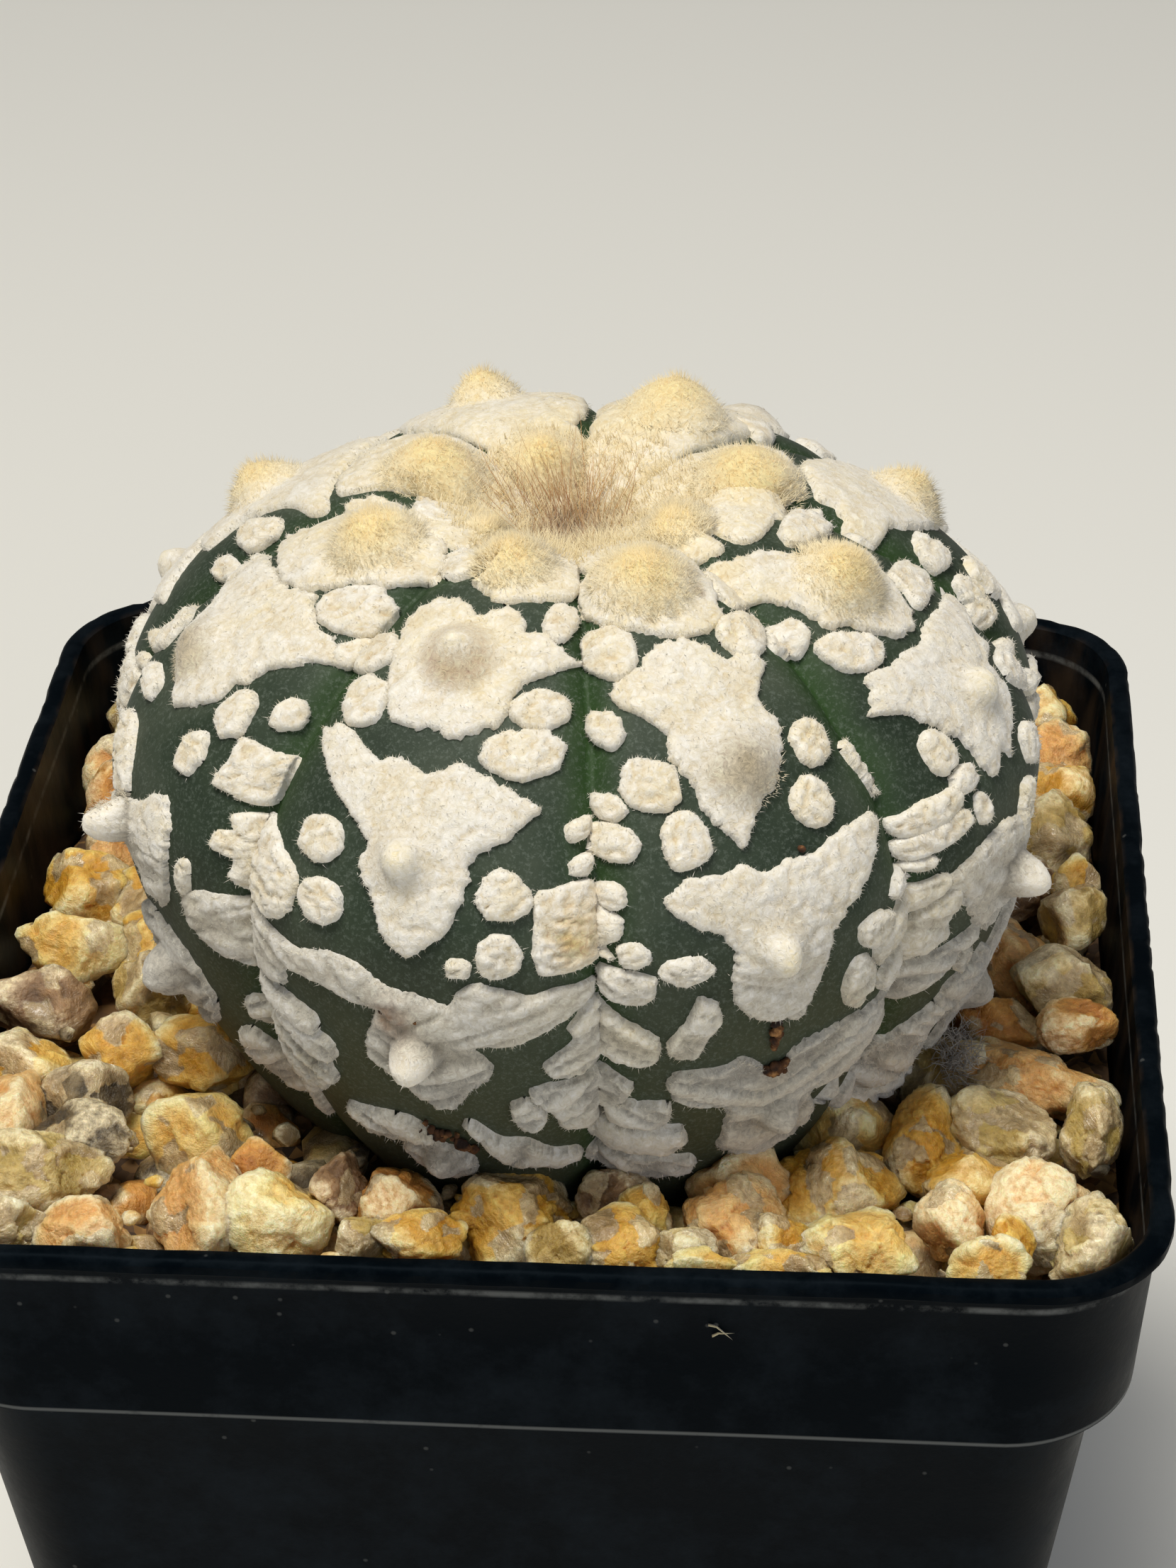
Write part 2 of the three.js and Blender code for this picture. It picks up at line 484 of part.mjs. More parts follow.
function inside(outline, azimuth, polar) {
  const x = near(azimuth, outline[0][0]);
  let crossings = 0;
  outline.forEach(([ax, ay], i) => {
    const [bx, by] = outline[(i + 1) % outline.length];
    if (ay > polar !== by > polar && x < ax + ((polar - ay) / (by - ay)) * (bx - ax)) crossings++;
  });
  return crossings % 2 === 1;
}

const LINES = STREAKS.map(([from, to, half]) => {
  return { line: new THREE.Line3(bodyPoint(...from), bodyPoint(...to)), reach: half + 0.25 };
});
const MOUNDS = STARS.map(({ areole, mound: [radius, height] }) => {
  return { centre: bodyPoint(...areole), radius, height };
});
const nearest = new THREE.Vector3();

// How far the felt and wool stand above the skin at a place.
function relief(azimuth, polar) {
  const here = bodyPoint(azimuth, polar);
  const felt =
    STARS.some((star) => inside(star.outline, azimuth, polar)) ||
    PLATES.some((outline) => inside(outline, azimuth, polar)) ||
    DOTS.some(([x, y, a, b]) => ((near(azimuth, x) - x) / a) ** 2 + ((polar - y) / b) ** 2 < 1) ||
    LINES.some(({ line, reach }) => line.closestPointToPoint(here, true, nearest).distanceTo(here) < reach);
  const mounds = MOUNDS.map(({ centre, radius, height }) => {
    const away = here.distanceTo(centre) / radius;
    return away < 1 ? height * (1 - away ** 2) ** 1.5 : 0;
  });
  return (felt ? FLECK_HEIGHT : 0) + Math.max(...mounds);
}

// The skin's place with its felt on it, or, for a grown copy, pushed out by a plain clearance.
function surface(azimuth, polar, grown) {
  const lift = grown > 0 ? grown : relief(azimuth, polar);
  return bodyPoint(azimuth, polar).addScaledVector(bodyNormal(azimuth, polar), lift);
}

// Tapered root: height above the pot's foot and radius.
const ROOT = [[44.5, 8.2], [40, 5.6], [34, 3.6], [28, 1.9]];
const COLUMNS_PER_RIB = 12;

function polars(first, step, last) {
  const count = Math.round((last - first) / step);
  return Array.from({ length: count + 1 }, (_, i) => first + i * step);
}

function azimuths(perRib) {
  return RIBS.flatMap(({ start, end }) =>
    Array.from({ length: perRib }, (_, i) => start + ((end - start) * i) / perRib),
  );
}

function plantBody(perRib, rows, grown) {
  const around = azimuths(perRib);
  const rings = rows.map((polar) => around.map((azimuth) => surface(azimuth, polar, grown).toArray()));
  for (const [z, radius] of ROOT) {
    rings.push(
      around.map((azimuth) => [
        CACTUS_X + (radius + grown) * Math.sin(radians(azimuth)),
        CACTUS_Y - (radius + grown) * Math.cos(radians(azimuth)),
        z,
      ]),
    );
  }
  const top = bodyPoint(0, 0.01);
  const start = [CACTUS_X, CACTUS_Y, top.z + (grown > 0 ? grown : 0)];
  return skin(rings.reverse(), [CACTUS_X, CACTUS_Y, TUBER_BOTTOM - grown], start);
}

// Long stiff hairs round the crown: [count, polar angle, shortest, longest, lean from upright in degrees].
const HAIR_RINGS = [
  [8, 5.5, 3.2, 4.6, 12],
  [13, 9, 3.6, 5.4, 20],
  [19, 13.5, 3.2, 5.0, 30],
];

const HAIR_RADIUS = 0.38;
const HAIR_ROOT = 0.9;

function crownHairs() {
  const hairs = [];
  HAIR_RINGS.forEach(([count, polar, shortest, longest, lean], ring) => {
    for (let i = 0; i < count; i++) {
      const azimuth = (360 * (i + 0.5 * (ring % 2) + 0.5 * (draw() - 0.5))) / count;
      const length = shortest + (longest - shortest) * draw();
      const tilt = radians(lean + 16 * (draw() - 0.5));
      const cone = new THREE.ConeGeometry(HAIR_RADIUS, length + HAIR_ROOT, 3, 1);
      cone.translate(0, (length + HAIR_ROOT) / 2 - HAIR_ROOT, 0).rotateX(Math.PI / 2);
      cone.rotateX(tilt).rotateZ(radians(azimuth + 25 * (draw() - 0.5)));
      const foot = surface(azimuth, polar + 1.5 * draw(), 0);
      hairs.push(solid(cone.translate(foot.x, foot.y, foot.z)));
    }
  });
  return wasm.Manifold.union(hairs);
}

function cactusBody() {
  const rows = [...polars(4.5, 3.5, 124), 132, 146];
  return largest(plantBody(COLUMNS_PER_RIB, rows, 0).add(crownHairs()));
}

// The hole the plant stands in, clear of its felt and its low areoles.
const FELT_CLEARANCE = 0.4;
const MOUND_CLEARANCE = 0.7;
const GRAVEL_REACH_Z = POT_HEIGHT + 6;
const hole = plantBody(6, [...polars(60, 6, 132), 146], FLECK_HEIGHT + FELT_CLEARANCE);
const hollows = MOUNDS.filter(({ centre }) => centre.z < GRAVEL_REACH_Z).map(({ centre, radius }) => {
  const ball = new THREE.IcosahedronGeometry(radius + MOUND_CLEARANCE, 1);
  return solid(ball.translate(centre.x, centre.y, centre.z));
});
const socket = hole.add(wasm.Manifold.union(hollows));

function soilBody() {
  return largest(potRoom(FLOOR + GAP, SOIL_TOP).subtract(socket));
}

// Gravel. A stone is [x, y, length, width, height, turn]: length along X and width along Y before the turn.
const STONES = [
  // Before the plant, left to right
  [-25.3, -23.3, 8, 4.6, 4.4, 10], [-26, -28, 6, 3.4, 3.6, -6], [-21.3, -28.4, 4.6, 3, 3.6, 12],
  [-16, -25.4, 4.6, 7.8, 6, 8], [-12, -26.5, 5.6, 5.2, 5, -15], [-9, -24, 3.2, 4.2, 3.6, 0],
  [-7.4, -28.3, 2.8, 2.6, 2.8, 0], [-6.2, -24.9, 4.2, 5, 4.5, 14], [-4.6, -28.2, 5, 3, 3.2, 5],
  [-0.5, -25.5, 7.4, 6, 5, -8], [5.6, -28.2, 5.4, 4.6, 4.6, 10], [8.7, -28.8, 3.4, 2.6, 2.8, 0],
  [10.8, -25.9, 5.4, 6.4, 5, 20], [9.6, -30, 4, 2.2, 2.6, 0], [13.5, -29.9, 5.4, 2.6, 2.8, -4],
  [13.3, -27.4, 3.2, 3.4, 3.6, 30], [17.3, -27.6, 5.8, 4.4, 4.6, -12], [21.8, -25.4, 3.8, 4.2, 4.6, 5],
  [23.5, -29.2, 4, 3, 3.8, 0], [24.4, -27, 2.8, 2.6, 3, 0], [26.2, -23.5, 5.4, 6, 5, 22],
  [28.9, -27.2, 5.8, 5.8, 5.4, -10], [5, -24, 4, 3.2, 3, 0], [-13.5, -22.4, 3.2, 3, 3, 0],
  [6.4, -25.6, 3, 3, 3, 20], [2.6, -28.6, 3.4, 3.6, 3.4, 30],
  // Right of the plant, front to back
  [15.5, -21.8, 7.4, 6, 6, -14], [20.3, -18, 4.2, 6.8, 6, 12], [24, -17.4, 6.4, 5, 4.4, -24],
  [28.9, -17.5, 3.2, 6, 4.2, 0], [26, -13, 8.6, 4.2, 4.2, -25], [28.6, -9.4, 4.8, 3.2, 3.2, 15],
  [24, -7.6, 5, 3.2, 3.2, -20], [27.8, -5.4, 5.8, 4.6, 4.2, 10], [25, -2, 6.4, 6, 5.4, 0],
  [28.6, 1.6, 4, 4.2, 4, 0], [26, 5.6, 4.2, 4, 3.4, 20], [28.8, 5.4, 3, 3, 3, 0],
  [27.6, 10.6, 5.6, 7.6, 5, -12], [28.2, 16, 4.4, 5, 4.4, 15], [27.8, 21, 5, 4.8, 4.6, 0],
  [27.2, 26.4, 5, 5.2, 4.8, 35],
  // Left of the plant, front to back
  [-17, -18.5, 5.8, 5, 5, 15], [-23, -20, 6, 3.6, 3.6, -10], [-27, -17.6, 3.4, 5.8, 3.6, 0],
  [-23.5, -16.4, 5, 3.6, 3.6, 12], [-27.4, -13.4, 5, 3.6, 3.2, -8], [-18, -11.6, 5.4, 4.6, 5, 20],
  [-22.5, -12, 4.6, 4, 4.6, -16], [-27.4, -7, 6.2, 5, 4.6, 5], [-22, -4.6, 4.4, 4.6, 5, 0],
  [-27.2, -1, 6.2, 5, 5, 10], [-27.4, 5.5, 6, 5, 5, -12], [-23.4, 4.6, 4.8, 4.6, 5, 25],
  [-27, 10.2, 4, 4, 3.6, 0], [-27.6, 16, 4.2, 5, 5, 10], [-28.4, 19.6, 3.8, 4.6, 4.6, -20],
  [-27.6, 26.6, 5.2, 7.2, 6.4, 6],
];

// The bed falls evenly from the front wall to the back.
const BED_LENGTH = 62;
const BED_DEPTH = 20;
const STONE_RISE = 1.4;
const STONE_SINK = 0.2;
const gravelLevel = (y) => GRAVEL_FRONT_Z - (GRAVEL_FALL * (y + BED_LENGTH / 2)) / BED_LENGTH;

// The gravel is banked up against the right wall, behind the front corner.
const BANK_START_X = 22;
const BANK_START_Y = -22;
const BANK_RUN = 14;
const BANK_SLOPE = 0.34;
function bankRise(x, y) {
  const along = Math.min(1, Math.max(0, y - BANK_START_Y) / BANK_RUN);
  return BANK_SLOPE * Math.max(0, x - BANK_START_X) * along;
}

// An angular stone: a ball of facets cut by seeded planes, then stretched, turned and half sunk in the bed.
function stoneBody([x, y, length, width, height, turn], ball) {
  const planes = Array.from({ length: 11 }, () => {
    const normal = new THREE.Vector3(draw() - 0.5, draw() - 0.5, draw() - 0.5).normalize();
    return [normal, 0.7 + 0.25 * draw()];
  });
  const bare = ball.deleteAttribute("normal").deleteAttribute("uv");
  const stone = mergeVertices(bare, 1e-4);
  const place = stone.attributes.position;
  for (let i = 0; i < place.count; i++) {
    const point = new THREE.Vector3().fromBufferAttribute(place, i);
    const reach = planes.reduce((least, [normal, away]) => {
      const along = point.dot(normal);
      return along > 0.05 ? Math.min(least, away / along) : least;
    }, 1.12);
    place.setXYZ(i, ...point.multiplyScalar(reach).toArray());
  }
  stone.scale(length / 2, width / 2, height / 2).rotateZ(radians(turn));
  return solid(stone.translate(x, y, gravelLevel(y) + bankRise(x, y) + STONE_RISE - STONE_SINK * height));
}

// Small stones fill the rest on a loose grid, clear of the listed ones and of the plant.
const FILLER_ROWS = 11;
const FILLER_PITCH = 5.6;
const FILLER_JITTER = 1.8;
const FILLER_EDGE = 28;
const PLANT_CLEARANCE = 18.6;

function fillers() {
  const found = [];
  for (let row = 0; row < FILLER_ROWS; row++) {
    for (let column = 0; column < FILLER_ROWS; column++) {
      const x = -FILLER_EDGE + FILLER_PITCH * column + FILLER_JITTER * (draw() - 0.5);
      const y = -FILLER_EDGE + FILLER_PITCH * row + FILLER_JITTER * (draw() - 0.5);
      const size = 5.2 + 1.8 * draw();
      const turn = 90 * draw();
      const fromPlant = Math.hypot(x - CACTUS_X, y - CACTUS_Y);
      const free = STONES.every((s) => Math.hypot(x - s[0], y - s[1]) > 0.13 * (s[2] + s[3]) + 0.3 * size);
      if (fromPlant > PLANT_CLEARANCE && free) found.push([x, y, size, 0.85 * size, 0.8 * size, turn]);
    }
  }
  return found;
}

function gravelBody() {
  const low = SOIL_TOP + GAP;
  const room = potRoom(low, GRAVEL_REACH_Z);
  const bed = new THREE.BoxGeometry(2 * RIM_WIDTH, 2 * RIM_WIDTH, BED_DEPTH);
  bed.translate(0, 0, -BED_DEPTH / 2).rotateX(-Math.atan(GRAVEL_FALL / BED_LENGTH));
  bed.translate(0, 0, gravelLevel(0));
  const stones = [
    ...STONES.map((stone) => stoneBody(stone, new THREE.DodecahedronGeometry(1, 0))),
    ...fillers().map((stone) => stoneBody(stone, new THREE.IcosahedronGeometry(1, 0))),
  ];
  return largest(solid(bed).add(wasm.Manifold.union(stones)).intersect(room).subtract(socket));
}

function node(name, body) {
  const material = new THREE.MeshStandardMaterial({ color: COLOURS[name], roughness: 0.7 });
  const mesh = new THREE.Mesh(geometryOf(body), material);
  mesh.name = name;
  return mesh;
}

const part = new THREE.Group();
part.name = "potted_super_kabuto_star_cactus";
part.add(node("pot", potShell()));
part.add(node("soil", soilBody()));
part.add(node("gravel", gravelBody()));
part.add(node("cactus", cactusBody()));

export default part;
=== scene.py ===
# A potted super kabuto star cactus: a low globe of eight ribs under raised felt, in a small square pot.
import math
import random

import bmesh
import bpy
from mathutils import Matrix, Vector, kdtree, noise


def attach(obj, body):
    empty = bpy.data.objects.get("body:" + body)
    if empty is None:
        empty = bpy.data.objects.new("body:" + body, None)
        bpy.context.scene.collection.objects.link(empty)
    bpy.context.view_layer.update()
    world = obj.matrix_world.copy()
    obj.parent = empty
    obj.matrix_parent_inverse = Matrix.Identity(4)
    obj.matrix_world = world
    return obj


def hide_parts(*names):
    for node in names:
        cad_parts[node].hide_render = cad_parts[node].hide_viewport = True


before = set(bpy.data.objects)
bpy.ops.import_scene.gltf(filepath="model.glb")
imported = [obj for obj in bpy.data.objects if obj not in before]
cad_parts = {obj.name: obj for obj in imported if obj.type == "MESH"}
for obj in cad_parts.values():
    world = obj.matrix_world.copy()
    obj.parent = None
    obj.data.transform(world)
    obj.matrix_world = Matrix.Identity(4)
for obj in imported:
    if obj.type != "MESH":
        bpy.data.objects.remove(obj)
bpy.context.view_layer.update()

MM = 0.001
# Noise vectors take their offsets from the clock unless a seed is set
NOISE_SEED = 1795754885
noise.seed_set(NOISE_SEED)

# Camera: a long lens, held in front of the pot and above it, looking down at the plant. The picture's long
# side is 36 mm of sensor.
YAW = math.radians(-4.78)
PITCH = math.radians(32.34)
ROLL = math.radians(-1.09)
LENS_MM = 89.3
CAMERA_PLACE = Vector((16.7, -177.2, 180.0)) * MM

forward = Vector((math.sin(YAW) * math.cos(PITCH), math.cos(YAW) * math.cos(PITCH), -math.sin(PITCH)))
right = Vector((math.cos(YAW), -math.sin(YAW), 0))
up = right.cross(forward)
rolled_right = right * math.cos(ROLL) + up * math.sin(ROLL)
rolled_up = up * math.cos(ROLL) - right * math.sin(ROLL)
camera = bpy.data.objects.new("camera", bpy.data.cameras.new("camera"))
camera.data.lens = LENS_MM
turned = Matrix((rolled_right, rolled_up, -forward)).transposed().to_4x4()
camera.matrix_world = Matrix.Translation(CAMERA_PLACE) @ turned
bpy.context.collection.objects.link(camera)
bpy.context.scene.camera = camera

# Pot: black polypropylene, blow-moulded thin, with a deep collar, a narrow turned lip and four drain holes
# in its foot. Handling has worn the lip's edge and the collar's lower edge pale, and dust clings to it.
POT_HEIGHT = 60
COLLAR_HEIGHT = 11.2
RIM_HALF = 32.5
FOOT_HALF = 23.6
WALL = 0.9
FLOOR = 1.4
POT_BLACK = "#03070b"
POT_WORN = "#6f716f"
POT_DUST = "#4a4b4a"
POT_FILM = "#161c21"
# Brown of the painted reflection streaked down the inside wall
POT_PAINTED_REFLECTION = "#4f3e2c"
POT_SIDES = 480
LIP_LEVEL = 20
HOLE_RADIUS = 2.6
HOLE_PLACE = 14


def linear(hex_colour):
    """An sRGB hex colour as linear red, green, blue and alpha."""
    parts = [int(hex_colour[i : i + 2], 16) / 255 for i in (1, 3, 5)]
    return [p / 12.92 if p <= 0.04045 else ((p + 0.055) / 1.055) ** 2.4 for p in parts] + [1]


def feed(node, inputs):
    """Sets a node's inputs to values or links them, where a node stands for its first live output."""
    for name, value in inputs.items():
        if isinstance(value, bpy.types.Node):
            value = next(output for output in value.outputs if output.enabled)
        if isinstance(value, bpy.types.NodeSocket):
            node.id_data.links.new(value, node.inputs[name])
        else:
            node.inputs[name].default_value = value


def add(tree, kind, inputs, stops=(), **settings):
    """One node, with its settings, its inputs and a colour ramp's stops."""
    made = tree.nodes.new("ShaderNode" + kind)
    for name, value in settings.items():
        setattr(made, name, value)
    feed(made, inputs)
    for number, (position, colour) in enumerate(stops):
        if number > 1:
            made.color_ramp.elements.new(position)
        made.color_ramp.elements[number].position = position
        made.color_ramp.elements[number].color = linear(colour)
    return made


def new_material(name, constants):
    """A material, its tree and its shader, with the shader's constant sockets set."""
    made = bpy.data.materials.new(name)
    made.use_nodes = True
    shader = made.node_tree.nodes["Principled BSDF"]
    feed(shader, constants)
    return made, made.node_tree, shader


def finish_piece(name, work, material, replaced=None, sharp=None):
    """Turns a mesh worked in millimetres into a piece that rides on the pot."""
    bmesh.ops.scale(work, vec=(MM, MM, MM), verts=work.verts)
    mesh = bpy.data.meshes.new(name)
    work.to_mesh(mesh)
    work.free()
    mesh.shade_smooth()
    if sharp:
        mesh.set_sharp_from_angle(angle=math.radians(sharp))
    mesh.materials.append(material)
    piece = bpy.data.objects.new(name, mesh)
    bpy.context.collection.objects.link(piece)
    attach(piece, "root")
    if replaced:
        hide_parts(replaced)
    return piece


def square_reach(angle, half, corner):
    """How far a square with rounded corners reaches from its middle at an angle."""
    x, y = abs(math.cos(angle)), abs(math.sin(angle))
    straight = half / max(x, y)
    if straight * min(x, y) <= half - corner:
        return straight
    middle = half - corner
    along = (x + y) * middle
    return along + math.sqrt(along**2 - 2 * middle**2 + corner**2)


STEP_Z = POT_HEIGHT - COLLAR_HEIGHT
COLLAR_TOP = RIM_HALF - 0.7
COLLAR_BOTTOM = RIM_HALF - 1.3
BODY_TOP = RIM_HALF - 3.1
POT_PROFILE = [
    # Height, half width and corner radius, up the outside, over the lip and down the inside
    (0, FOOT_HALF - 0.8, 4), (0.15, FOOT_HALF - 0.35, 4), (0.8, FOOT_HALF, 4), (16, 25.5, 4.3),
    (32, 27.4, 4.7), (STEP_Z - 0.8, BODY_TOP, 5), (STEP_Z - 0.5, BODY_TOP + 0.1, 5),
    (STEP_Z - 0.35, BODY_TOP + 0.4, 5.2), (STEP_Z - 0.1, COLLAR_BOTTOM - 0.3, 6.8),
    (STEP_Z + 0.15, COLLAR_BOTTOM, 7), (STEP_Z + 0.5, COLLAR_BOTTOM + 0.03, 7), (54, 31.5, 6.6),
    (POT_HEIGHT - 1.4, COLLAR_TOP, 6.3), (POT_HEIGHT - 1.15, COLLAR_TOP + 0.1, 6.4),
    (POT_HEIGHT - 0.95, RIM_HALF - 0.25, 6.6), (POT_HEIGHT - 0.75, RIM_HALF, 6.6),
    (POT_HEIGHT - 0.3, RIM_HALF, 6.6), (POT_HEIGHT - 0.06, RIM_HALF - 0.2, 6.5),
    (POT_HEIGHT, RIM_HALF - 0.4, 6.3), (POT_HEIGHT, RIM_HALF - 0.95, 5.9),
    (POT_HEIGHT - 0.2, COLLAR_TOP - 0.5, 5.7), (STEP_Z + WALL, COLLAR_BOTTOM - WALL, 6.2),
    (STEP_Z + WALL - 0.5, BODY_TOP - WALL, 4.4), (FLOOR, FOOT_HALF - WALL, 3.4),
]

work = bmesh.new()
inside_layer = work.verts.layers.float.new("inside")
bmesh.ops.create_circle(work, segments=POT_SIDES, radius=FOOT_HALF)
ring = list(work.edges)
for level, (height, half, corner) in enumerate(POT_PROFILE):
    if level:
        grown = bmesh.ops.extrude_edge_only(work, edges=ring)["geom"]
        ring = [part for part in grown if isinstance(part, bmesh.types.BMEdge)]
    for corner_point in {vertex for edge in ring for vertex in edge.verts}:
        angle = math.atan2(corner_point.co.y, corner_point.co.x)
        reach = square_reach(angle, half, corner)
        warp = 0.12 * noise.noise(Vector((2 * math.cos(angle), 2 * math.sin(angle), height / 40)))
        reach += warp * min(1, height / 20) * (0.4 if height > 58 else 1)
        lip_ripple = 0.1 * noise.noise(Vector((9 * math.cos(angle), 9 * math.sin(angle), 3)))
        nick = noise.noise(Vector((44 * math.cos(angle), 44 * math.sin(angle), height)))
        if POT_HEIGHT - 1 < height and level < LIP_LEVEL:
            reach -= 0.16 * max(0, nick)
            lip_ripple -= 0.1 * max(0, nick)
        corner_point[inside_layer] = float(level >= LIP_LEVEL)
        corner_point.co = (
            reach * math.cos(angle),
            reach * math.sin(angle),
            height + (lip_ripple if height > POT_HEIGHT - 1.2 else 0),
        )
bmesh.ops.holes_fill(work, edges=[edge for edge in work.edges if edge.is_boundary])
bmesh.ops.recalc_face_normals(work, faces=work.faces)

pot_constants = {"IOR": 1.49, "Specular IOR Level": 0.04, "Specular Tint": linear("#8ea6ba")}
material, tree, shader = new_material("polypropylene_blow_moulded_black", pot_constants)
place = add(tree, "TexCoord", {}).outputs["Object"]
height = add(tree, "SeparateXYZ", {"Vector": place}).outputs["Z"]
# Dust and handling marks, a few millimetres across, and specks of half a millimetre
smear = add(tree, "TexNoise", {"Vector": place, "Scale": 130, "Detail": 9, "Roughness": 0.74})
grain = add(tree, "TexNoise", {"Vector": place, "Scale": 2600, "Detail": 2})
dusty = add(tree, "MapRange", {"Value": smear, "From Min": 0.46, "From Max": 0.74})
specks = add(tree, "TexVoronoi", {"Vector": place, "Scale": 760, "Randomness": 1})
speck = add(tree, "MapRange", {"Value": specks, "From Min": 0.12, "From Max": 0.06, "To Max": 0.6})
picked = add(tree, "Math", {0: specks.outputs["Color"], 1: 0.74}, operation="GREATER_THAN")
speck = add(tree, "Math", {0: speck, 1: picked}, operation="MULTIPLY")


def worn_band(level, width, breakup, least):
    """A worn line at one height, in millimetres, broken up where the noise falls short of the least."""
    off = add(tree, "Math", {0: height, 1: level * MM}, operation="SUBTRACT")
    away = add(tree, "Math", {0: off}, operation="ABSOLUTE")
    half = width * MM
    band = add(tree, "MapRange", {"Value": away, "From Min": half, "From Max": half * 0.3})
    worn = add(tree, "MapRange", {"Value": breakup, "From Min": least, "From Max": least + 0.22})
    return add(tree, "Math", {0: band, 1: worn}, operation="MULTIPLY")


lip_wear = add(tree, "TexNoise", {"Vector": place, "Scale": 420, "Detail": 7, "Roughness": 0.7})
lip_line = worn_band(POT_HEIGHT - 1.85, 0.26, lip_wear, 0.38)
collar_line = worn_band(STEP_Z + 0.32, 0.16, lip_wear, 0.2)
black = add(tree, "Mix", {0: dusty, 6: linear(POT_BLACK), 7: linear(POT_FILM)}, data_type="RGBA")
black = add(tree, "Mix", {0: speck, 6: black, 7: linear(POT_DUST)}, data_type="RGBA")
# Brown streaks run down the inside wall: a painted reflection
run = add(tree, "Mapping", {"Vector": place, "Scale": (1, 1, 0.3)})
run = add(tree, "TexNoise", {"Vector": run, "Scale": 380, "Detail": 6})
run = add(tree, "MapRange", {"Value": run, "From Min": 0.45, "From Max": 0.8, "To Max": 0.45})
inside = add(tree, "Attribute", {}, attribute_name="inside").outputs["Fac"]
tint_with_painted_light = add(tree, "Math", {0: inside, 1: run}, operation="MULTIPLY")
black = add(tree, "Mix", {0: tint_with_painted_light, 6: black, 7: linear(POT_PAINTED_REFLECTION)}, data_type="RGBA")
wear = add(tree, "Math", {0: lip_line, 1: collar_line}, operation="ADD", use_clamp=True)
worn_share = add(tree, "Math", {0: wear, 1: 0.6}, operation="MULTIPLY")
black = add(tree, "Mix", {0: worn_share, 6: black, 7: linear(POT_WORN)}, data_type="RGBA")
sheen = {"Value": smear, "From Min": 0.3, "From Max": 0.75, "To Min": 0.34, "To Max": 0.6}
rough = add(tree, "MapRange", sheen)
uneven = add(tree, "Bump", {"Height": smear, "Strength": 0.25, "Distance": 0.2 * MM})
moulded = {"Height": grain, "Strength": 0.12, "Distance": 0.03 * MM, "Normal": uneven}
fine = add(tree, "Bump", moulded)
feed(shader, {"Base Color": black, "Roughness": rough, "Normal": fine})

pot = finish_piece("pot_moulding", work, material, "pot", sharp=40)

# The four drain holes, punched through the foot
drill = bmesh.new()
for x in (-HOLE_PLACE, HOLE_PLACE):
    for y in (-HOLE_PLACE, HOLE_PLACE):
        spot = Matrix.Translation((x * MM, y * MM, 0))
        hole = {"radius1": HOLE_RADIUS * MM, "radius2": HOLE_RADIUS * MM, "depth": 8 * MM}
        bmesh.ops.create_cone(drill, cap_ends=True, segments=32, matrix=spot, **hole)
drill_mesh = bpy.data.meshes.new("drain_drill")
drill.to_mesh(drill_mesh)
drill.free()
drill_tool = bpy.data.objects.new("drain_drill", drill_mesh)
bpy.context.collection.objects.link(drill_tool)
cut = pot.modifiers.new("drain_holes", "BOOLEAN")
cut.object = drill_tool
cut.solver = "EXACT"
with bpy.context.temp_override(object=pot, active_object=pot):
    bpy.ops.object.modifier_apply(modifier=cut.name)
bpy.data.objects.remove(drill_tool)

# Soil: a dark, crumbly potting mix of peat and bark, pressed in round the root. It fills the pot below the
# gravel, and only the drain holes show it.
material, tree, shader = new_material("potting_mix_moist_crumbly", {"Roughness": 0.95})
place = add(tree, "TexCoord", {}).outputs["Object"]
crumb = add(tree, "TexVoronoi", {"Vector": place, "Scale": 700})
earth_stops = [(0, "#1d1510"), (0.6, "#3a2b20"), (1, "#6b5a48")]
earth = add(tree, "ValToRGB", {"Fac": crumb.outputs["Color"]}, earth_stops)
bump = add(tree, "Bump", {"Height": crumb, "Strength": 0.8, "Distance": 0.6 * MM})
feed(shader, {"Base Color": earth, "Normal": bump})
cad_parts["soil"].data.materials.clear()
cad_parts["soil"].data.materials.append(material)

# Gravel: a top dressing of decomposed granite, gold, peach and cream grains with grey quartz in them, 3 to
# 8 mm across, poured round the plant and lying loose. It is a little higher at the front.
GRAVEL_FRONT = POT_HEIGHT - 2.2
GRAVEL_FALL = 4.2
PLANT_X = 1.7
PLANT_Y = -4.3
BREAKS = 11
BREAK_SHARPNESS = 26
INSIDE_HALF = 30.8
INSIDE_CORNER = 5.6
WALL_SQUEEZE = 0.9
PLANT_CLEAR = 18.5
FILLER_SPACING = 5.6
LOWER_COUNT = 260
CHIP_COUNT = 320
GRAVEL_COLOURS = {
    # The grains' light and deep colour, and the share of grey quartz among them
    "gold": ("#fdd272", "#cc9328", 0.3),
    "peach": ("#fdd494", "#dfa55c", 0.2),
    "cream": ("#fee79c", "#e3b254", 0.22),
    "grey": ("#e2ca8c", "#b0954e", 0.6),
    "olive": ("#e0c37e", "#ab8d48", 0.5),
    "orange": ("#e9b05c", "#b87832", 0.12),
    "brown": ("#b8946a", "#76583a", 0.15),
    "dark": ("#8a7856", "#4c412f", 0.3),
}
